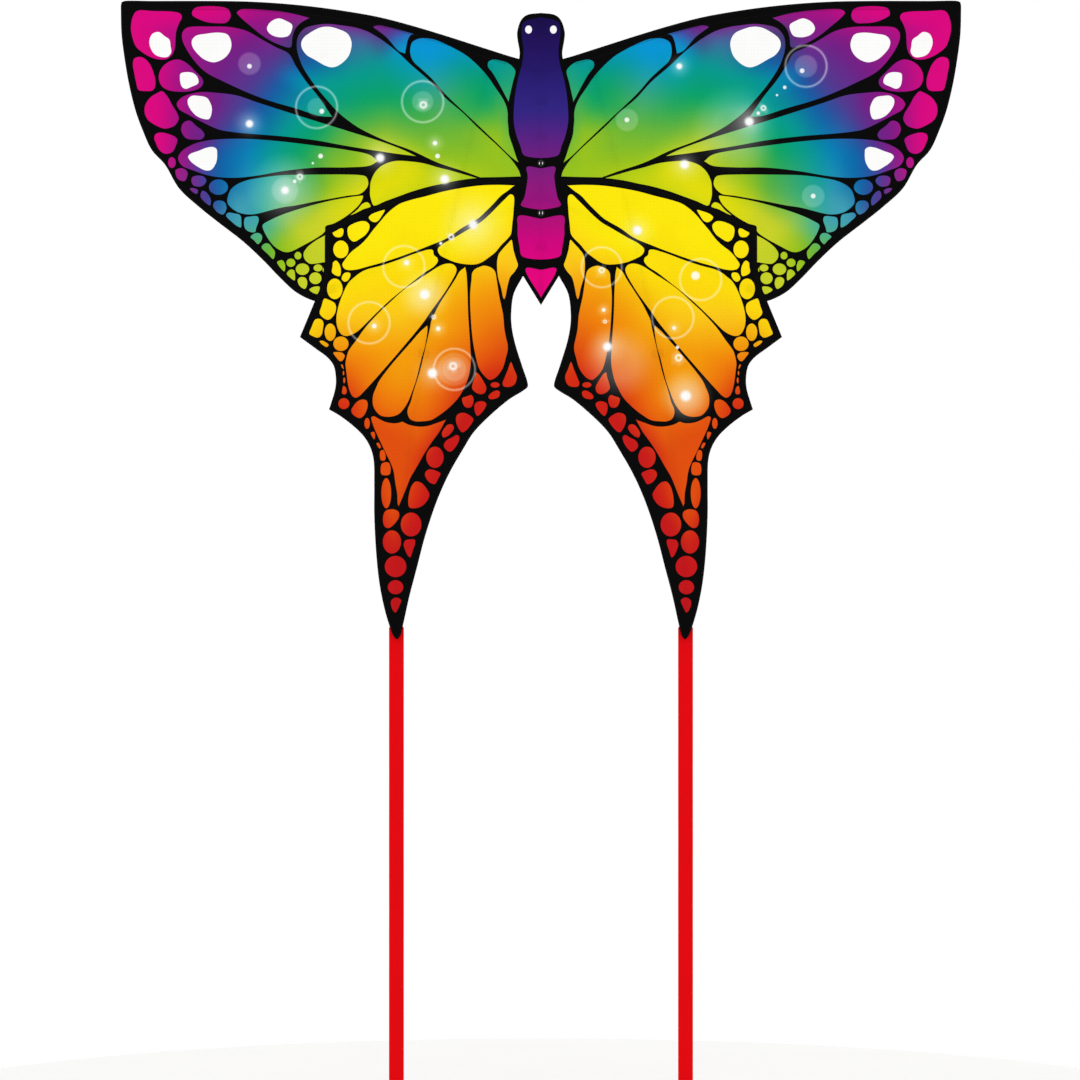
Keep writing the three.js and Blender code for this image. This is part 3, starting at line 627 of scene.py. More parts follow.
HIND_CELLS = [
    [(-40, -34, SHARP), (-64, -33), (-94, -34), (-124, -38), (-150, -43), (-180, -51), (-200, -56),
     (-218, -62), (-230, -70), (-240, -79), (-250, -91), (-261, -104), (-270, -116), (-280, -126),
     (-294, -137), (-303, -148), (-308, -157), (-304, -164), (-297, -166), (-285, -165), (-270, -161),
     (-248, -155), (-226, -148), (-190, -135), (-170, -127), (-150, -119), (-139, -113), (-124, -102),
     (-97, -86), (-85, -75), (-73, -63), (-62, -51), (-51, -43)],
    [(-47, -47.5), (-42, -50), (-42, -75), (-44, -95), (-46, -110), (-51, -117), (-61, -127), (-70, -138),
     (-80, -146), (-92, -154), (-101, -157), (-115, -157), (-132, -154), (-147, -148), (-156, -143),
     (-160, -137), (-160, -132), (-150, -123), (-135, -115), (-111, -101), (-94, -91), (-80, -79),
     (-68, -67), (-58, -57)],
    [(-45.5, -118), (-42, -134), (-38, -148), (-35, -157), (-36, -161), (-41, -169), (-47, -176),
     (-50, -185), (-52, -194), (-55, -208), (-57, -211), (-59, -208), (-62, -194), (-67, -176),
     (-68.5, -160), (-68, -149), (-66, -141), (-61, -134), (-51, -123)],
    [(-70, -169), (-73, -164), (-79, -160), (-88, -158), (-95, -160), (-103, -164), (-107, -170),
     (-108, -180), (-110, -200), (-110, -220), (-109, -240), (-107.5, -261), (-105, -281), (-101.5, -299),
     (-97, -316), (-91, -326), (-83, -334), (-79, -336), (-71, -333), (-64, -326), (-58, -316), (-54, -302),
     (-51, -290), (-51, -281), (-53, -272), (-56, -257), (-58, -235), (-61, -220), (-64, -206), (-68, -180)],
    [(-117, -160, SHARP), (-126, -167), (-133, -179), (-142, -193), (-159, -220), (-165, -232),
     (-170, -243), (-172, -254), (-179, -284), (-188, -322), (-198, -354), (-202, -369), (-207, -382),
     (-206, -391), (-202, -397), (-194, -400), (-185, -400), (-170, -398), (-158, -391), (-147, -383),
     (-136, -373), (-127, -363), (-120, -351), (-114, -338), (-110, -323), (-108, -308), (-109, -281),
     (-112, -235), (-113.5, -190), (-115, -169)],
    [(-176, -250.5, SHARP), (-175, -255), (-179, -284), (-184, -301), (-193, -337), (-199, -354),
     (-205, -369), (-211, -379), (-219, -388), (-228, -392), (-238, -393), (-248, -391), (-255, -385),
     (-260, -376), (-261, -367), (-260, -358), (-256, -348), (-251, -337), (-241, -323), (-229, -308),
     (-216, -293), (-201, -276), (-187, -260)],
    [(-131, -170), (-130, -164), (-133, -158), (-139, -155), (-147, -155), (-156, -158), (-180, -173),
     (-203, -188), (-218, -200), (-235, -216), (-249, -229), (-273, -255), (-285, -272), (-298, -290),
     (-301, -299), (-303, -310), (-302, -320), (-299, -343), (-296, -354), (-292, -361), (-287, -363.5),
     (-281, -361), (-272, -352), (-261, -340), (-238, -314), (-208, -279), (-181, -246), (-170, -230),
     (-147, -198), (-135, -178)],
    [(-159, -152), (-160, -146), (-165, -142), (-167, -134), (-173, -133), (-185, -136), (-200, -141),
     (-218, -148), (-248, -158), (-270, -164), (-280, -169), (-289, -176), (-296, -182), (-302, -191),
     (-307, -202), (-312, -215), (-315, -226), (-317, -238), (-316.5, -250), (-313, -260), (-308, -266),
     (-301, -268), (-293, -266), (-284, -261), (-278, -256), (-264, -242), (-238, -217), (-223, -204),
     (-207, -191), (-180, -170), (-165, -160)],
    [(-263, -393), (-259, -391), (-249, -396), (-240, -400), (-228, -402), (-219, -401), (-215, -399.5),
     (-205, -404), (-189, -407), (-175, -406), (-160, -401), (-146, -396, SHARP), (-157, -416),
     (-170, -434), (-182, -453), (-191, -469), (-201, -486), (-208, -503), (-214, -518),
     (-220, -531.5, SHARP), (-222, -528), (-223, -512), (-226, -494), (-229, -475), (-234, -462),
     (-240, -450), (-249, -431), (-255, -418), (-260, -406)],
    [(-241, -72), (-251, -74), (-263, -79), (-267, -84), (-264, -89), (-257, -92), (-251, -89), (-246, -82)],
    [(-299, -99), (-288, -92), (-277, -89), (-270, -90), (-265, -95), (-265, -101), (-270, -110),
     (-279, -117), (-289, -122), (-295, -119), (-299, -112)],
    [(-323, -108), (-317, -104), (-308, -100), (-305, -103), (-306, -111), (-309, -114.5), (-318, -114.5)],
    [(-322, -153), (-317, -150), (-312, -155), (-309, -166), (-311, -175), (-318, -174), (-324, -169),
     (-323, -160)],
    [(-309, -179), (-304.5, -169.5), (-296, -169), (-294, -173), (-298.5, -182), (-304, -184)],
    [(-335.5, -209), (-329, -210.5), (-319, -216), (-316.5, -222), (-318, -232), (-325, -241), (-330, -243),
     (-338, -239), (-343, -232), (-340, -221)],
    [(-349, -241), (-340, -241), (-336, -247), (-337, -257), (-339, -266), (-345, -270.5), (-353.5, -268),
     (-359, -264), (-356, -255)],
    [(-343, -275), (-338, -274), (-328, -281), (-331, -285), (-341, -279)],
    [(-322, -293), (-317, -291.5), (-307, -293), (-303, -298), (-307, -306), (-311, -307), (-317, -301)],
    [(-309.7, -311), (-307, -311), (-305, -319), (-308, -317)],
    [(-306, -344), (-302, -346), (-300, -353), (-302, -358), (-308, -357), (-308, -350)],
    [(-294, -382), (-291, -376), (-284, -368), (-276, -365), (-269.5, -367), (-267.5, -374), (-269.5, -383),
     (-274, -391), (-280, -395), (-288, -392), (-293, -387)],
    [(-264, -417), (-258, -415), (-256, -421), (-258, -428)],
    [(-255, -433), (-251, -432), (-247, -440), (-250, -442)],
    [(-249, -445), (-244, -443), (-240, -451), (-241, -460), (-248, -460)],
    [(-247, -465), (-240, -462), (-235, -463), (-232, -472), (-234, -482), (-247, -482)],
    [(-244, -543), (-240, -537), (-228, -535), (-220, -539), (-219, -547), (-225, -557), (-235, -565),
     (-242, -563), (-245, -554)],
    [(-213, -590), (-210, -583), (-203, -581.5), (-195, -582), (-194, -587), (-198, -600), (-202, -610.5),
     (-206, -608), (-211, -598)],
    [(-233, -679), (-229, -673), (-222, -671.5), (-216, -676), (-219, -686), (-225, -696), (-229, -693)],
    [(-46.5, -307), (-41, -319), (-37, -329), (-38, -338), (-42, -344), (-48, -346.5), (-57.5, -346),
     (-60, -341), (-57, -332), (-52, -320)],
    [(-82, -361), (-76, -354), (-67, -351), (-63, -354), (-65, -362), (-73, -365.5), (-80, -365)],
    [(-101, -323), (-97, -325), (-88, -338), (-84, -347), (-86, -355), (-92, -358), (-100, -356),
     (-107, -349), (-106, -340), (-103, -331)],
    [(-122, -363), (-114, -360), (-108, -358), (-104, -363), (-104, -370), (-108, -378), (-117, -378),
     (-122, -370)],
    [(-103, -373), (-99, -369), (-89, -368), (-84, -372), (-86, -379), (-95, -390), (-99, -391.5),
     (-103, -384)],
    [(-132, -394), (-129, -388), (-120, -385.5), (-111, -389), (-104, -396), (-108, -405), (-117, -415),
     (-122, -417), (-127, -412), (-131.5, -402)],
    [(-154, -419), (-150, -410), (-144, -404), (-137, -404), (-134, -409), (-137, -416), (-144.5, -423),
     (-151, -425)],
    [(-151, -437), (-147, -429), (-138, -424), (-130, -420), (-126, -423), (-127, -431), (-133, -441),
     (-140, -447), (-147, -444)],
    [(-180, -483), (-178, -476), (-172, -473), (-163, -475), (-155, -480), (-159, -489), (-164, -497),
     (-173, -494)],
    [(-206, -524), (-204, -509), (-200, -498), (-194, -492), (-185, -494), (-176, -504), (-172, -513),
     (-176, -523), (-184, -531), (-195, -534.5), (-204, -533)],
]
HIND_PEBBLES = [
    (-309.6, -133.3, 12.3, 14.2), (-319, -194.4, 12.6, 16.5), (-326, -261.5, 9.2, 14),
    (-309.5, -279.4, 12.3, 11.8), (-305.6, -324.8, 1.8, 4), (-304.4, -336, 2.2, 5.3),
    (-305, -372, 9.1, 9.1), (-269, -402.6, 4.8, 9), (-239.4, -510.6, 8.2, 23.9), (-201, -559, 16.5, 19),
    (-230.6, -586, 14.7, 18.5), (-225, -624, 17.2, 17), (-225, -656, 12.5, 11.5), (-71, -343, 7.6, 4.8),
    (-164, -455, 14, 17),
]
BODY_CELLS = [
    [(0, 226), (-27, 218), (-30, 205), (-27, 172), (-29, 155), (-36, 128), (-40, 105), (-42, 82), (-42, 63),
     (-37, 40), (-32, 27), (-27, 13), (-14, 9), (0, 8)],
    [(0, -8), (-22, -6), (-20.5, -20), (-23, -40), (-26, -54), (-31, -65), (-18, -69.5), (0, -72)],
    [(0, -86), (-35, -82), (-36, -99), (-36, -111), (-33, -129), (-30, -143), (-18, -147.5), (0, -149)],
    [(0, -165), (-23.5, -163), (0, -208)],
]
BODY_EYE = (-19.2, 206.7, 5.3, 6.3)

# Sparkles printed over the cells and their black lines: x, z and radius of each kind.
SPARKLES = {
    "left": {
        "disc": [(-451, 154, 17), (-347, 86, 14), (-183, 95, 16), (-396, -42, 20), (-134, -319, 18),
            (-134, -319, 25)],
        "dot": [(-451, 150, 4), (-339, 80, 4), (-160, 11, 4), (-381, -28, 3), (-341, 11, 4), (-353, 0, 2)],
        "glow": [(-451, 61, 10), (-164, 31, 6), (-249, 8, 12), (-149, -25, 12), (-396, -42, 10),
            (-105, -95, 12), (-155, -124, 4), (-208, -154, 7), (-258, -252, 6), (-180, -203, 13),
            (-159, -256, 6), (-168, -325, 13)],
        "ring": [(-347, 86, 32), (-183, 95, 32), (-212, -160, 32), (-266, -247, 32), (-134, -319, 32)],
        "donut": [(-182, 90, 6), (-373, -21, 5), (-139, -114, 5), (-166, -238, 3.5), (-136, -314, 6.5)],
        "haze": [(-396, -42, 60), (-105, -95, 60), (-180, -203, 45)],
    },
    "right": {
        "glow": [(214, 150, 8), (322, 64, 12), (222, -2, 12), (149, -104, 12), (97, -227, 5),
            (103, -284, 12), (206, -255, 5), (224, -360, 14)],
        "disc": [(133, 67, 17), (410, 150, 17), (421, -51, 17)],
        "dot": [(133, 67, 4), (404, 143, 4), (377, 117, 3), (365, 105, 2), (336, 77, 3), (421, -51, 4),
            (239, -174, 7), (211, -285, 3)],
        "ring": [(410, 150, 32), (94, -161, 31), (247, -180, 32), (204, -239, 32)],
        "donut": [(344, 85, 4.5), (94, -165.5, 5), (99, -245, 3), (213, -301, 6)],
        "haze": [(300, 53, 70), (120, -308, 60), (224, -360, 45)],
    },
}
RING_HALF_WIDTH = 1.3

# ------------------------------------------------------------------ the sail's outlines (left wing)

LEADING_EDGE = [
    (-50, 166), (-100, 182), (-150, 198), (-200, 213), (-250, 226), (-300, 235), (-350, 242), (-400, 247),
    (-450, 250), (-500, 251), (-600, 251), (-645.5, 250.8), (-649, 249), (-650, 244),
]
FOREWING_OUTER_EDGE = [
    (-650, 235), (-649, 200), (-644, 160), (-637, 120), (-627, 80), (-616, 50), (-602, 20), (-582, -2),
    (-560, -39), (-530, -67), (-500, -91), (-460, -122), (-430, -150), (-402, -179), (-380, -199),
    (-360, -210), (-350, -213.5, SHARP),
]
WING_SEAM = [
    (-350, -213.5, SHARP), (-340, -203), (-334, -185), (-331, -165), (-331, -108, SHARP), (-329, -103),
    (-318, -98.5), (-280, -80.5), (-240, -65), (-200, -50.3), (-150, -37.5), (-120, -32), (-94, -28.3),
    (-29, -27.5, SHARP),
]
HINDWING_EDGE = [
    (-350, -213.5, SHARP), (-373, -269, SHARP), (-350, -286), (-330, -301), (-321, -313), (-317.5, -330),
    (-318, -347), (-325, -372), (-328, -381, SHARP), (-311, -391), (-290, -407), (-274, -423), (-264, -440),
    (-259, -459), (-258, -500), (-258, -543), (-255, -603), (-250, -650), (-242, -690), (-233, -720),
    (-228, -732), (-223, -737), (-218, -732), (-213.5, -715), (-203.5, -670), (-192.5, -628), (-178, -573),
    (-160, -520), (-141.5, -479), (-119, -440), (-106, -419), (-89, -400), (-50, -366), (-29, -353),
    (-20.5, -346), (-21, -338), (-28, -317), (-41, -275), (-45.5, -250), (-46, -232), (-42, -202),
    (-28, -175, SHARP),
]
HEAD = [
    (0, 232.5), (-20, 230), (-28, 225), (-33, 217), (-36, 207), (-37, 200), (-36, 190), (-33, 171),
]
BODY_SIDE_AT_FOREWING = [
    (-34, 161), (-39, 142), (-48, 102), (-51, 80), (-51, 60), (-46, 35), (-35, 3), (-31, -10), (-30, -27),
]
BODY_SIDE_AT_HINDWING = [
    (-30, -28), (-34, -55), (-41, -80), (-44, -105), (-42, -130), (-35, -155), (-28, -174),
]
BODY_TIP = (0, -219.5)

GRID = 9  # between the mesh points of a panel
GRID_SHIFT = (0.37, 0.41)  # which keeps the grid off the outlines' round numbers
CELL_STEP = 3.2
CELL_INSET = 0.6
BODY_OVERLAP = 1.6
BODY_FRONT = 0.35  # the body's cloth lies this far in front of the wings'
SEAM_Z = -27.5
WING_TOP_Z, WING_FOOT_Z = 161, -174  # where the wings meet the body
BILLOWS = [  # middle, reach and depth of the soft hollows between the rods
    (-330, 110, 95, 5), (-500, 110, 80, 3), (-200, 70, 60, 3.5), (-430, -50, 60, 2.5),
    (-255, -215, 60, 3.5), (-88, -225, 34, 2), (-240, -400, 40, 1.5), (-140, -420, 40, 2),
]


def billow(x, z):
    """The sail's depth at a place: it stands forward of its plane wherever no rod is near."""
    depth = 0
    for bx, bz, reach, height in BILLOWS:
        near = max(0, 1 - ((abs(x) + bx) ** 2 + (z - bz) ** 2) / reach**2)
        depth += height * near * near
    crease = noise.noise(Vector((x / 55, z / 70, 3.1))) + 0.5
    return -depth * (0.8 + 0.4 * crease) - 0.15 * crease


def mirrored(points, side):
    """A left-hand outline as it is, or its mirror image for the right."""
    return [(p[0] * -side, p[1]) for p in points]


def pebble(x, z, across, up):
    turns = max(10, round((across + up) * 1.5))
    angles = [2 * math.pi * i / turns for i in range(turns)]
    return [(x + across * math.cos(a), z + up * math.sin(a)) for a in angles]


def outline_area(ring):
    """Positive for an outline that runs counter-clockwise."""
    pairs = zip(ring, ring[1:] + ring[:1], strict=True)
    return sum(a[0] * b[1] - b[0] * a[1] for a, b in pairs) / 2


def counter_clockwise(points):
    return points if outline_area(points) > 0 else list(reversed(points))


def inset(ring):
    """A cell's outline drawn in a little, which widens the black lines between cells."""
    ring = [Vector(p) for p in counter_clockwise([tuple(p) for p in ring])]
    made = []
    for i, here in enumerate(ring):
        ahead = (ring[(i + 1) % len(ring)] - ring[i - 1]).normalized()
        made.append(here + Vector((-ahead.y, ahead.x)) * CELL_INSET)
    return made


def filled(ring):
    """The same ring, with points along its long edges so that the print shades smoothly there."""
    made = []
    for start, end in zip(ring, ring[1:] + ring[:1], strict=True):
        pieces = math.ceil(math.dist(start, end) / GRID)
        for i in range(pieces):
            made.append(tuple(Vector(start).lerp(Vector(end), i / pieces)))
    return made


SPARKLE_RINGS = {  # where a sparkle needs mesh points, as shares of its radius
    "ring": [0.9, 0.95, 1, 1.05, 1.1],
    "disc": [0.9, 1, 1.1],
    "haze": [0.3, 0.5, 0.7, 0.85, 1],
    "glow": [0, 0.2, 0.35, 0.5, 0.65, 0.8, 1, 1.3, 1.7, 2.2, 3],
    "donut": [0, 0.3, 0.6, 0.85, 1.1],
    "dot": [0, 0.5, 0.8, 1.1],
}
HAZE_GAP = 12
SPARKLE_GAPS = (1.1, 3)


def sparkle_points(sparkles):
    """Mesh points for the edges of the sparkles, in circles round each."""
    made = []
    for kind, x, z, radius in sparkles:
        for share in SPARKLE_RINGS[kind]:
            r = radius * share
            if r == 0:
                made.append((x, z))
                continue
            gap = HAZE_GAP if kind == "haze" else max(SPARKLE_GAPS[0], min(SPARKLE_GAPS[1], r * 0.5))
            turns = max(6, round(2 * math.pi * r / gap))
            for i in range(turns):
                angle = 2 * math.pi * (i + share) / turns
                made.append((x + r * math.cos(angle), z + r * math.sin(angle)))
    return made


def veil_of(kind, away, radius):
    """How far one sparkle lightens the print at each distance from its middle, from 0 to 1."""
    if kind == "ring":
        return 0.52 * np.clip(1.6 - np.abs(away - radius) / RING_HALF_WIDTH, 0, 1)
    if kind == "disc":
        return 0.2 * np.clip((radius * 1.08 - away) / (radius * 0.12), 0, 1)
    if kind == "haze":
        return 0.25 * np.clip(1.8 - 1.8 * away / radius, 0, 1)
    if kind == "glow":
        core = np.clip((radius - away) / (radius * 0.7), 0, 1)
        halo = np.clip(1 - away / (radius * 3.2), 0, 1)
        return np.maximum(core * core * (3 - 2 * core), 0.55 * halo * halo)
    if kind == "donut":
        band_of_white = 0.85 * np.clip(1.6 - np.abs(away - radius * 0.7) / (radius * 0.3), 0.35, 1)
        return band_of_white * (away < radius * 1.15)
    return 0.92 * np.clip((radius * 1.1 - away) / (radius * 0.35), 0, 1)


def whiteness(places, sparkles):
    """How far all the sparkles together lighten the print at each place, from 0 to 1."""
    left = np.ones(len(places))
    for kind, x, z, radius in sparkles:
        away = np.hypot(places[:, 0] - x, places[:, 1] - z)
        left = left * (1 - veil_of(kind, away, radius))
    return 1 - left


INK_BLUR = 10  # the reach over which the gradient mesh is softened
MESH_CORNERS = [(-1500, -1500), (1500, -1500), (1500, 1500), (-1500, 1500)]


def wing_ink(inks):
    """The print's colour on a wing: a gradient mesh whose corners are the stops, softened a little."""
    stops = [(Vector(place), code_rgb(INKS[ink])) for ink, places in inks.items() for place in places]
    far = []
    for corner in MESH_CORNERS:
        nearest = min(stops, key=lambda stop: (stop[0] - Vector(corner)).length)
        far.append((Vector(corner), nearest[1]))
    stops += far
    places_of, _, triangles, _, _, _ = geometry.delaunay_2d_cdt([s[0] for s in stops], [], [], 0, 0.01)
    colours = np.array([s[1] for s in stops])
    turns = [2 * math.pi * i / 6 for i in range(6)]
    shifts = [(0, 0)] + [(INK_BLUR * math.cos(a), INK_BLUR * math.sin(a)) for a in turns]

    def at(places):
        made = np.zeros((len(places), 3))
        x, y = places[:, 0], places[:, 1]
        for i, j, k in triangles:
            (ax, ay), (bx, by), (cx, cy) = places_of[i], places_of[j], places_of[k]
            whole = (bx - ax) * (cy - ay) - (cx - ax) * (by - ay)
            to_b = ((x - ax) * (cy - ay) - (cx - ax) * (y - ay)) / whole
            to_c = ((bx - ax) * (y - ay) - (x - ax) * (by - ay)) / whole
            inside = (to_b >= 0) & (to_c >= 0) & (to_b + to_c <= 1)
            weights = np.stack([1 - to_b - to_c, to_b, to_c], axis=1)[inside]
            made[inside] = weights @ colours[[i, j, k]]
        return made

    return lambda places: sum(at(places + np.array(shift)) for shift in shifts) / len(shifts)


def body_ink(places):
    heights = [z for z, code in reversed(BODY_INKS)]
    colours = np.array([code_rgb(code) for z, code in reversed(BODY_INKS)])
    return np.stack([np.interp(places[:, 1], heights, colours[:, c]) for c in range(3)], axis=1)


def print_panel(outline, holes, cells, whites, ink, sparkles):
    """Triangles of a flat panel, each with its ink: the panel's outline and all cells are its edges."""
    rings = [outline] + holes + cells + whites
    points, loops = [], []
    for ring in rings:
        ring = filled(counter_clockwise([tuple(p) for p in ring]))
        loops.append(list(range(len(points), len(points) + len(ring))))
        points += ring
    (left, low), (right, high) = np.min(outline, axis=0), np.max(outline, axis=0)
    columns = range(math.floor(left), math.ceil(right), GRID)
    rows = range(math.floor(low), math.ceil(high), GRID)
    points += [(x + GRID_SHIFT[0], z + GRID_SHIFT[1]) for x in columns for z in rows]
    points += sparkle_points(sparkles)
    verts, _, faces, _, _, origins = geometry.delaunay_2d_cdt(
        [Vector(p) for p in points], [], loops, 1, 0.02
    )
    hole_ids = set(range(1, 1 + len(holes)))
    white_ids = set(range(len(rings) - len(whites), len(rings)))
    kept, kinds = [], []
    for face, inside in zip(faces, origins, strict=True):
        inside = set(inside)
        if 0 not in inside or inside & hole_ids:
            continue
        kept.append(face)
        kinds.append("white" if inside & white_ids else "ink" if len(inside) > 1 else "black")
    corners = np.array([verts[i] for face in kept for i in face])
    kinds = np.repeat(kinds, 3)[:, None]
    colours = np.where(kinds == "ink", ink(corners), code_rgb(INKS["black"]))
    colours = np.where(kinds == "white", code_rgb(INKS["white"]), colours)
    veil = whiteness(corners, sparkles)[:, None]
    return verts, kept, to_linear(colours * (1 - veil) + veil)


def panel_object(name, verts, faces, colours, material, slot, front=0.0):
    """A sail panel from print_panel, with the print in its colour attribute."""
    used = sorted({i for face in faces for i in face})
    place = {old: new for new, old in enumerate(used)}
    points = [(verts[i][0], billow(*verts[i]) - front, verts[i][1]) for i in used]
    faces = [tuple(place[i] for i in face) for face in faces]
    obj = make_mesh(name, points, faces, material, [tuple(verts[i]) for i in used])
    layer = obj.data.color_attributes.new("ink", "FLOAT_COLOR", "CORNER")
    layer.data.foreach_set("color", np.hstack([colours, np.ones((len(colours), 1))]).ravel())
    return obj


def stretched(outline):
    """Works out the flat area of a panel's cut; nothing uses it."""
    area = abs(outline_area(outline)) * MM * MM


def body_side():
    """The body's left edge, from the top of the head to the tip."""
    return smooth_line(HEAD + BODY_SIDE_AT_FOREWING + BODY_SIDE_AT_HINDWING, 3) + [Vector(BODY_TIP)]


def under_body(low, high):
    """The part of the body's edge between two heights, upwards, moved in so that the body overlaps it."""
    return [p + Vector((BODY_OVERLAP, 0)) for p in reversed(body_side()) if low <= p.y <= high]


def cell_rings(cells, pebbles, side):
    rings = [smooth_line(cell, CELL_STEP, closed=True) for cell in cells]
    rings += [pebble(*p) for p in pebbles]
    return [mirrored(inset(ring), side) for ring in rings]


NEAR_PANEL = 20  # how far outside a panel a sparkle still counts


def make_wing_panels(name, side, cloth):
    seam = smooth_line(WING_SEAM, 5)
    fore = smooth_line(LEADING_EDGE + FOREWING_OUTER_EDGE, 6)[:-1] + seam
    fore += under_body(SEAM_Z, WING_TOP_Z)
    hind = list(reversed(seam[1:])) + smooth_line(HINDWING_EDGE, 4)
    hind += under_body(WING_FOOT_Z, SEAM_Z)
    panels = [
        ("forewing", "edge_spar", fore, FORE_CELLS, FORE_PEBBLES, FORE_WHITES, wing_ink(FOREWING_INKS)),
        ("hindwing", "tail_spar", hind, HIND_CELLS, HIND_PEBBLES, [], wing_ink(HINDWING_INKS)),
    ]
    for panel, spar, outline, cells, pebbles, whites, ink in panels:
        outline = mirrored(outline, side)
        whites = [mirrored(smooth_line(white, CELL_STEP, closed=True), side) for white in whites]

        def side_ink(places, ink=ink):
            return ink(places * np.array([-side, 1]))

        lows, highs = np.min(outline, axis=0) - NEAR_PANEL, np.max(outline, axis=0) + NEAR_PANEL
        sparkles = [(kind, *place) for kind, places in SPARKLES[name].items() for place in places]
        near = [s for s in sparkles if (lows < s[1:3]).all() and (highs > s[1:3]).all()]
        made = print_panel(outline, [], cell_rings(cells, pebbles, side), whites, side_ink, near)
        obj = panel_object(f"{name}_{panel}_print", *made, cloth, "wing_cloth")
        stand_in(obj, f"{name}_wing", f"{name}_{panel}")
        stretched(outline)


EYELETS = {"upper_tow_eyelet": 0, "lower_tow_eyelet": -77}
EYELET_HOLE = 4


def bend_with_wing(obj):
    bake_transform(obj)


def make_body_print(cloth):
    """The body in two halves that meet on the spine."""
    holes = [pebble(0, z, EYELET_HOLE, EYELET_HOLE) for z in EYELETS.values()]
    for name, side in SIDES.items():
        outline = mirrored(body_side(), side)
        cells = [mirrored(smooth_line(cell, CELL_STEP), side) for cell in BODY_CELLS]
        whites = [mirrored(pebble(*BODY_EYE), side)]
        made = print_panel(outline, holes, cells, whites, body_ink, [])
        obj = panel_object(f"{name}_body_print", *made, cloth, "body_cloth", front=BODY_FRONT)
        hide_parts(f"{name}_body_panel", *(["body_strip"] if name == "left" else []))
        bend_with_wing(obj)
        stretched(outline)


# ------------------------------------------------------------------ the frame behind the sail

ROD_RADIUS = 2
ROD_Y = 4.5
SEWN_Y = 0.9  # front face of what is sewn to the back of the sail
CLOTH = 0.8
HUMP = 2.4  # inside radius of a channel over a rod
ARCH_STEPS = 12
CLOSING_STEPS = 8
LOWEST_ARCH = 0.06  # of the full height, at a closed end

EDGE_SPAR_LINE = [
    (-19, 148.4), (-34, 154), (-50, 160), (-100, 176), (-150, 192), (-200, 207), (-250, 220),
    (-300, 229), (-350, 236), (-400, 241), (-450, 244), (-500, 245), (-600, 245), (-640, 245),
]
TAIL_SPAR_LINE = [
    (-80, 150), (-117, 0), (-152, -150), (-182, -300), (-205, -450), (-219, -580), (-224, -660),
    (-224, -716),
]
SPREADER_DEPTHS = [
    (19, 4.5), (45, 4.6), (75, 6), (110, 8.4), (144, 9.4), (180, 8.9), (240, 6.9), (300, 5),
    (341, 4.5),
]
UPPER_HUB_Z, UPPER_SLOPE = 141.2, 0.375
LOWER_HUB_Z, LOWER_SLOPE = -50, -0.447
JOINER_FROM, JOINER_TO = 5.2, 43
JOINER_OUTER, JOINER_INNER = 4.2, 3.55
JOINER_STEPS = 22

SPINE_FOOT, SPINE_TOP = -205, 226
SPINE_STEPS = 40
SPINE_POCKETS = {  # mouth, closed end and half width
    "head_pocket": (198, 229, 7),
    "body_tip_pocket": (-180, -208, 5.2),
}
SPINE_LOOPS_Z = [95, 40, -130]
SLEEVE_FROM, SLEEVE_TO = 47, 612
SLEEVE_FLANGES = (8.5, 4.8)
TAIL_X, TAIL_Y = 224, 11
WING_POCKETS = {  # x and z from the mouth to the closed end, and half width
    "wing_tip_pocket": ([(616, 245), (624, 245), (632, 245), (638, 245), (644, 245)], 5.2),
    "spreader_pocket": ([(x, LOWER_HUB_Z + LOWER_SLOPE * x) for x in (318, 324, 330, 338, 345)], 6.5),
    "tail_spar_top_pocket": ([(80 - (z - 150) * 0.245, z) for z in (130, 136, 142, 147, 153)], 6.5),
    "tail_pocket": ([(TAIL_X, z) for z in (-660, -675, -690, -705, -722)], 5),
}
TAIL_SPAR_LOOP_Z = (-302, -288)
CLOSED_END = 3
LOOP_HALF_WIDTH, LOOP_ROW = 9, 7.6
SPINE_ROW_INSET, WING_ROW_INSET = 1.2, 1.1  # from a flange's edge to its stitches
TAB_ROUTE = [  # depth and height: down the sail, round the ring and up
    (9, -665), (9, -684.2), (9.6, -685.3), (11, -685.8), (12.4, -685.3), (12.9, -684.2),
    (12.9, -682.4), (12.2, -681.4), (10.2, -680.6), (10.2, -666),
]
TAB_WIDTH = 5


def arch(flange_a, flange_b, height=1.0):
    """A channel's section round a rod, from one sewn flange over the rod to the other."""
    base = SEWN_Y - ROD_Y
    outer, inner = [], []
    for i in range(ARCH_STEPS + 1):
        angle = math.pi * i / ARCH_STEPS
        for ring, radius in ((outer, HUMP + CLOTH), (inner, HUMP)):
            rise = max(0, radius * math.sin(angle)) * height
            low = base + CLOTH if ring is outer else base
            lift = -low * height * min(1, math.sin(angle) * 3)
            ring.append((radius * math.cos(angle), low + lift + rise))
    over = [(flange_a, base + CLOTH * 0.2), (flange_a - 0.3, base + CLOTH)] + outer
    over += [(-flange_b + 0.3, base + CLOTH), (-flange_b, base + CLOTH * 0.2), (-flange_b, base)]
    return over + list(reversed(inner)) + [(flange_a, base)]


def channel(name, path, flange_a, flange_b, material, slot, closed_end=0.0):
    """Cloth sewn over a rod. A closed end comes down to the sail over its last few millimetres."""
    if not closed_end:
        return sweep(name, path, lambda i, s: arch(flange_a, flange_b), material)
    end, before = path[-1], path[-2]
    turn = end + (before - end).normalized() * closed_end
    first = len(path) - 1
    quarter = [math.pi / 2 * i / CLOSING_STEPS for i in range(CLOSING_STEPS + 1)]
    path = path[:-1] + [turn.lerp(end, math.sin(angle)) for angle in quarter]

    def section(i, travelled):
        height = math.cos(quarter[i - first]) if i >= first else 1
        return arch(flange_a, flange_b, max(LOWEST_ARCH, height))

    return sweep(name, path, section, material)


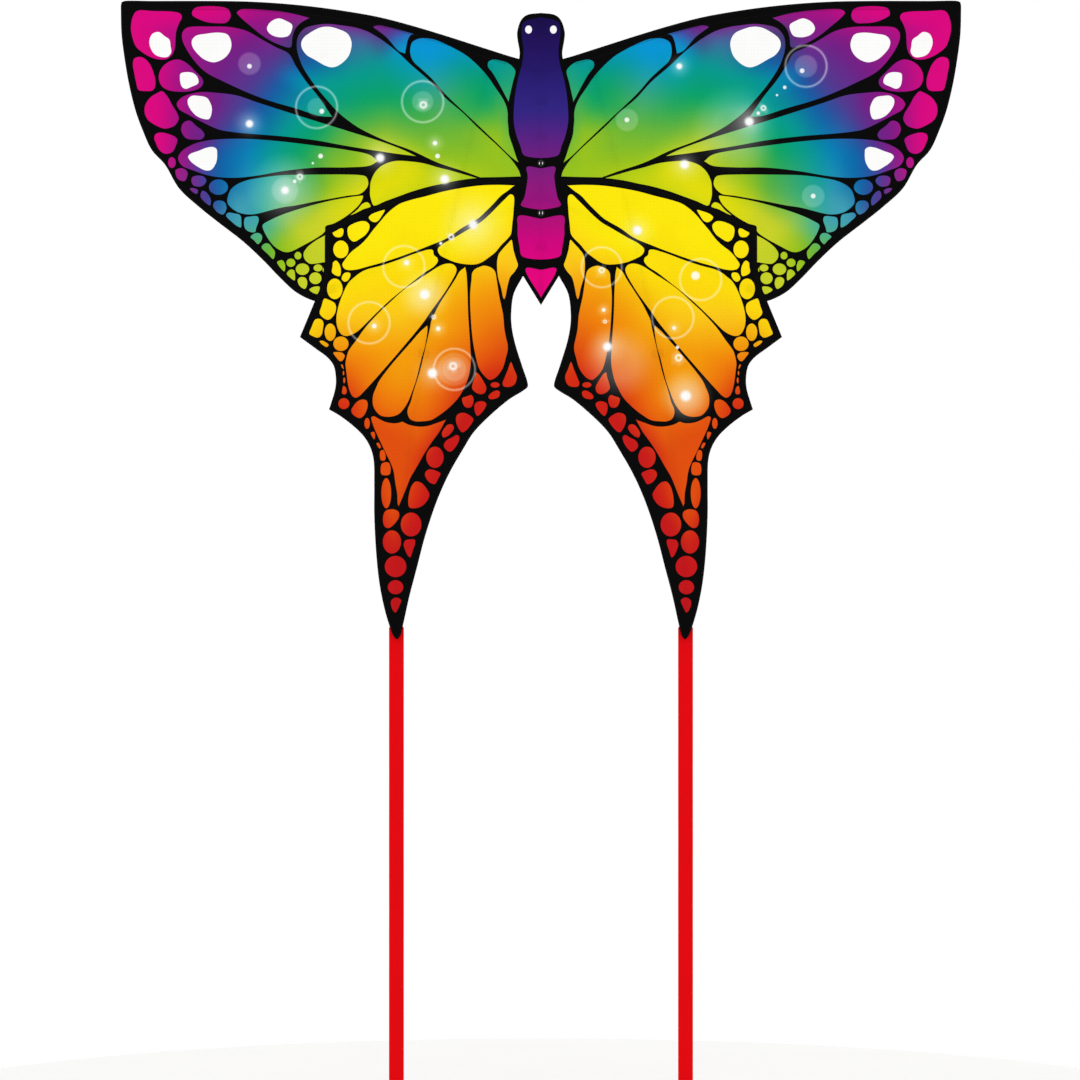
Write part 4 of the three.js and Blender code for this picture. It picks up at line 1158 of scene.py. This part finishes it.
def strap(name, path, width, thickness, material, across=Vector((1, 0, 0)), ring=False):
    """A flat strip along a path. width(travelled) is its width there."""

    def section(i, travelled):
        half, thick = width(travelled) / 2, thickness / 2
        return [(-half, -thick), (half, -thick), (half, thick), (-half, thick)]

    return sweep(name, path, section, material, ring, across, smooth=False)


def sewn_over(cad, kind, path, half, row, body, finishes, closed_end=0.0):
    """Webbing over a rod, with a row of stitches through the flange on either side of it."""
    webbing = finishes["webbing"]
    obj = channel(f"{cad}_{kind}", path, half, half, webbing, "webbing", closed_end)
    stand_in(obj, body, cad)
    line = [Vector((p.x, p.z)) for p in path]
    for label, side in (("a", 1), ("b", -1)):
        stitched = stitches(
            f"{cad}_stitching_{label}", offset(line, row * side), finishes["thread"],
            SEWN_Y + CLOTH + 0.1, pitch=2.6, length=1.8, radius=0.25,
        )
        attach(stitched, body)


def make_joiner(cad, side, hub_z, slope, material):
    """The vinyl tube that carries a rod on the hub's arm, where the wing folds."""
    step = (JOINER_TO - JOINER_FROM) / JOINER_STEPS
    reach = [JOINER_FROM + step * i for i in range(JOINER_STEPS + 1)]
    path = [Vector((side * x, ROD_Y, hub_z + slope * x)) for x in reach]
    obj = tube(f"{cad}_tube", path, JOINER_OUTER, JOINER_INNER, material)
    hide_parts(cad)
    bend_with_wing(obj)


def make_spine(finishes):
    step = (SPINE_TOP - SPINE_FOOT) / SPINE_STEPS
    path = [(0, ROD_Y, SPINE_FOOT + step * i) for i in range(SPINE_STEPS + 1)]
    stand_in(rod("spine_rod_round", path, ROD_RADIUS, finishes["rod"]), "centre", "spine_rod")
    for cad, (mouth, end, half) in SPINE_POCKETS.items():
        path = [Vector((0, ROD_Y, mouth + (end - mouth) * t / 6)) for t in range(7)]
        row = half - SPINE_ROW_INSET
        sewn_over(cad, "webbing", path, half, row, "centre", finishes, CLOSED_END)
    for i, z in enumerate(SPINE_LOOPS_Z, start=1):
        path = [Vector((0, ROD_Y, z + rise)) for rise in range(-6, 7, 2)]
        sewn_over(f"spine_loop_{i}", "strap", path, LOOP_HALF_WIDTH, LOOP_ROW, "centre", finishes)


def make_wing_frame(name, side, finishes):
    wing = f"{name}_wing"

    def at_rod(points):
        return [Vector((abs(x) * side, ROD_Y, z)) for x, z in points]

    spreader = [(side * x, y, LOWER_HUB_Z + LOWER_SLOPE * x) for x, y in SPREADER_DEPTHS]
    rods = {
        "edge_spar": at_rod(smooth_line(EDGE_SPAR_LINE, 8)),
        "tail_spar": at_rod(smooth_line(TAIL_SPAR_LINE, 10)),
        "spreader": smooth_line(spreader, 8),
    }
    for cad, path in rods.items():
        made = rod(f"{name}_{cad}_rod", path, ROD_RADIUS, finishes["rod"])
        stand_in(made, wing, f"{name}_{cad}")
    vinyl_tube = finishes["vinyl"]
    make_joiner(f"{name}_edge_joiner", side, UPPER_HUB_Z, UPPER_SLOPE, vinyl_tube)
    make_joiner(f"{name}_spreader_joiner", side, LOWER_HUB_Z, LOWER_SLOPE, vinyl_tube)

    covered = [p for p in rods["edge_spar"] if SLEEVE_FROM < abs(p.x) < SLEEVE_TO]
    flanges = SLEEVE_FLANGES if name == "left" else reversed(SLEEVE_FLANGES)
    sleeve = channel(f"{name}_edge_sleeve_cloth", covered, *flanges, finishes["sleeve"], "sleeve_cloth")
    stand_in(sleeve, wing, f"{name}_edge_sleeve")

    for cad, (points, half) in WING_POCKETS.items():
        row = half - WING_ROW_INSET
        sewn_over(f"{name}_{cad}", "webbing", at_rod(points), half, row, wing, finishes, CLOSED_END)
    low, high = TAIL_SPAR_LOOP_Z
    crossing = [p for p in smooth_line(at_rod(TAIL_SPAR_LINE), 1.5) if low < p.z < high]
    loop = f"{name}_tail_spar_loop"
    sewn_over(loop, "strap", crossing, LOOP_HALF_WIDTH, LOOP_ROW, wing, finishes)

    tab_path = [(side * TAIL_X, y, z) for y, z in TAB_ROUTE]
    webbing = finishes["webbing"]
    tab = strap(f"{name}_tail_tab_webbing", tab_path, lambda s: TAB_WIDTH, 1.0, webbing)
    stand_in(tab, wing, f"{name}_tail_tab")


HEM = 2.2
SLEEVE_SEAM = 13.2
SEAM_ROW = 1.6
THREAD_RISE = 0.12


def make_sail_stitching(name, side, thread):
    """Hem stitches inside the sail's edges and twin rows along the wing seam, on the printed front."""

    def front(place):
        return billow(place.x, place.y) - THREAD_RISE

    straight_edge = LEADING_EDGE[:11]
    lines = {
        "leading_edge": (straight_edge, HEM),
        "sleeve_seam": (straight_edge, SLEEVE_SEAM),
        "outer_edge": (FOREWING_OUTER_EDGE, HEM),
        "hindwing_edge": (HINDWING_EDGE[1:-1], HEM),
        "seam_upper": (WING_SEAM, SEAM_ROW),
        "seam_lower": (WING_SEAM, -SEAM_ROW),
    }
    for line, (points, inwards) in lines.items():
        path = [Vector((p.x * -side, p.y)) for p in offset(smooth_line(points, 5), inwards)]
        row = stitches(f"{name}_{line}_stitches", path, thread, front)
        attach(row, f"{name}_wing")


# ------------------------------------------------------------------ tow eyelets, rings and ribbons

RING_Z, RING_RADIUS, RING_WIRE = -690, 7, 0.9
RING_STEPS = 56
ROLL_Z, ROLL_RADIUS, ROLL_CORE = -1450, 20, 8
ROLL_TURNS, POINTS_PER_TURN = 19, 40
RIBBON_WIDTH, RIBBON_THICKNESS = 23, 0.22
RIBBON_EYE_WIDTH = 6.6
SPREAD_FROM, SPREAD_OVER = 26, 9  # how far along the ribbon it widens, and over what length
DROP_STEPS = 110
BEND_RADIUS, BEND_STEPS = 4, 6  # where the ribbon comes off the roll
LAID_IN = 0.3  # the outermost turn's inset from the roll's radius
TIE_HALF_LENGTH, TIE_INSIDE, TIE_OUTSIDE, TIE_CORNER = 12.7, 1.4, 21.2, 2
TIE_WIDTH = 4
TIE_LEAN = math.radians(25)
# The ribbon's eye: round the ring's wire, as depth and height above the wire's foot.
RIBBON_EYE = [
    (11.9, -9), (12.3, -3), (12.5, 0), (11.9, 1.6), (11, 2), (10.1, 1.6), (9.6, 0), (10, -4), (10.9, -9),
]
EYE_STITCH_DEPTHS = {"front": 10.4, "back": 12.2}


def ribbon_route():
    """The whole ribbon as depth and height: round the ring's wire, down, and wound up in the roll."""
    wire = RING_Z - RING_RADIUS
    route = [tuple(p) for p in smooth_line([(y, wire + rise) for y, rise in RIBBON_EYE], 0.8)]
    top = ROLL_Z + ROLL_RADIUS - LAID_IN
    start = route[-1][1]
    drop = start - top - BEND_RADIUS
    for i in range(1, DROP_STEPS + 1):
        share = i / DROP_STEPS
        ripple = math.sin(share * 23) * 0.9 + math.sin(share * 61 + 1) * 0.35
        route.append((TAIL_Y - 0.1 + ripple * math.sin(math.pi * share), start - drop * share))
    for i in range(1, BEND_STEPS + 1):
        angle = math.pi / 2 * i / BEND_STEPS
        bend = (1 - math.cos(angle), 1 - math.sin(angle))
        route.append((TAIL_Y + BEND_RADIUS * bend[0], top + BEND_RADIUS * bend[1]))
    lead = math.asin(BEND_RADIUS / ROLL_RADIUS)
    for i in range(1, ROLL_TURNS * POINTS_PER_TURN):
        turned = i / POINTS_PER_TURN
        radius = ROLL_RADIUS - LAID_IN - (ROLL_RADIUS - ROLL_CORE) * turned / ROLL_TURNS
        angle = math.pi / 2 - lead - 2 * math.pi * turned
        route.append((TAIL_Y + radius * math.cos(angle), ROLL_Z + radius * math.sin(angle)))
    return route


def ribbon_width(travelled):
    spread = min(1, max(0, (travelled - SPREAD_FROM) / SPREAD_OVER))
    eased = spread * spread * (3 - 2 * spread)
    return RIBBON_EYE_WIDTH + (RIBBON_WIDTH - RIBBON_EYE_WIDTH) * eased


def make_ring(name, x, material):
    path = [(x + a, TAIL_Y, RING_Z + b) for a, b in circle(RING_RADIUS, RING_STEPS)]
    ring = sweep(
        f"{name}_tail_ring_wire", path, lambda i, s: circle(RING_WIRE, 12), material, ring=True
    )
    stand_in(ring, f"{name}_ring", f"{name}_tail_ring")


def make_tie(name, x, material):
    """An elastic band through the roll's core and over its outside."""
    lean = Vector((0, math.sin(TIE_LEAN), math.cos(TIE_LEAN)))
    corners = [  # middle of each rounded corner along the roll and out from it, and its first angle
        (TIE_HALF_LENGTH - TIE_CORNER, TIE_OUTSIDE - TIE_CORNER, 0),
        (TIE_CORNER - TIE_HALF_LENGTH, TIE_OUTSIDE - TIE_CORNER, 90),
        (TIE_CORNER - TIE_HALF_LENGTH, TIE_INSIDE + TIE_CORNER, 180),
        (TIE_HALF_LENGTH - TIE_CORNER, TIE_INSIDE + TIE_CORNER, 270),
    ]
    path = []
    for along, out, first in corners:
        for degrees in range(first, first + 91, 15):
            angle = math.radians(degrees)
            sideways = along + TIE_CORNER * math.cos(angle)
            outwards = out + TIE_CORNER * math.sin(angle)
            path.append(Vector((x + sideways, TAIL_Y, ROLL_Z)) + lean * outwards)
    across = Vector((0, lean.z, -lean.y))
    tie = strap(
        f"{name}_roll_tie_band", path, lambda s: TIE_WIDTH, 1.0, material, across, ring=True
    )
    stand_in(tie, f"{name}_tail", f"{name}_roll_tie")


def make_tail(name, side, finishes):
    x = side * TAIL_X
    make_ring(name, x, finishes["ring"])
    route = [Vector((x, y, z)) for y, z in ribbon_route()]
    ribbon = finishes["ribbon"]
    cloth = strap(f"{name}_ribbon_cloth", route, ribbon_width, RIBBON_THICKNESS, ribbon)
    stand_in(cloth, f"{name}_tail", f"{name}_ribbon", f"{name}_ribbon_roll")
    row = [Vector((x + across, RING_Z - 15.5)) for across in (-3, 3)]
    for label, depth in EYE_STITCH_DEPTHS.items():
        sewn = stitches(
            f"{name}_ribbon_eye_stitches_{label}", row, finishes["red_thread"], depth, pitch=1.5,
            length=1.1, radius=0.2,
        )
        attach(sewn, f"{name}_tail")
    make_tie(name, x, finishes["elastic"])


EYELET_PROFILE = [  # radius and depth: a domed flange, a rolled barrel and a washer behind
    (3.15, 1.1), (3.7, 1.3), (4.4, 1.1), (5.4, 0.95), (5.6, 0.7), (5.5, 0.5), (3.9, 0.5),
    (3.9, -0.5), (5.5, -0.5), (5.6, -0.65), (5.3, -0.95), (4.4, -1.25), (3.6, -1.3),
    (3.15, -1.0), (3.0, -0.5), (3.0, 0.6),
]


def make_eyelet(name, z, material):
    path = [(a, 0, z + b) for a, b in circle(1, 40)]
    section = [(1 - r, y) for r, y in EYELET_PROFILE]
    obj = sweep(name + "_rim", path, lambda i, s: section, material, ring=True)
    stand_in(obj, "centre", name)


def finish_cad_node(node, material, bevel=0.35):
    """A moulded CAD part keeps its shape, with its edges eased."""
    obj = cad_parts[node]
    obj.data.materials.clear()
    obj.data.materials.append(material)
    ease = obj.modifiers.new("eased_edges", "BEVEL")
    ease.width = bevel * MM
    ease.segments = 2
    ease.limit_method = "ANGLE"
    ease.harden_normals = False


# ------------------------------------------------------------------ the whole scene


def make_floor():
    z = CAD_BOX[0][2] / MM - FLOOR_GAP
    rim = [(x, y, z) for x, y in circle(FLOOR_RADIUS, 96)]
    make_mesh("floor", rim, [tuple(range(96))], pale_floor(), [p[:2] for p in rim])


make_camera()
make_studio()
make_floor()

finishes = {
    "ribbon": ribbon_cloth(),
    "ring": steel("ring_steel"),
    "elastic": plain_cloth("elastic_band", "1b1b1d", 0.9, 0.2),
    "rod": fibreglass(),
    "vinyl": vinyl(),
    "webbing": plain_cloth("black_webbing", "101012", 1.1, 0.06),
    "sleeve": plain_cloth("black_sleeve_cloth", "0d0d0f", 0.7, 0.06),
    "red_thread": plain_cloth("red_thread", "b00008", 0.3, 0.0),
    "thread": plain_cloth("black_thread", "101012", 0.3, 0.0),
}
print_cloth = printed_cloth()
for name, side in SIDES.items():
    make_tail(name, side, finishes)
    make_wing_frame(name, side, finishes)
    make_wing_panels(name, side, print_cloth)
    make_sail_stitching(name, side, finishes["thread"])
make_spine(finishes)
make_body_print(print_cloth)
nylon = moulded_nylon("moulded_nylon", "161617")
for node in ("upper_hub", "lower_hub", "lower_hub_stop_above", "lower_hub_stop_below"):
    finish_cad_node(node, nylon)
eyelet_nylon = moulded_nylon("eyelet_nylon", "080809")
for node, z in EYELETS.items():
    make_eyelet(node, z, eyelet_nylon)
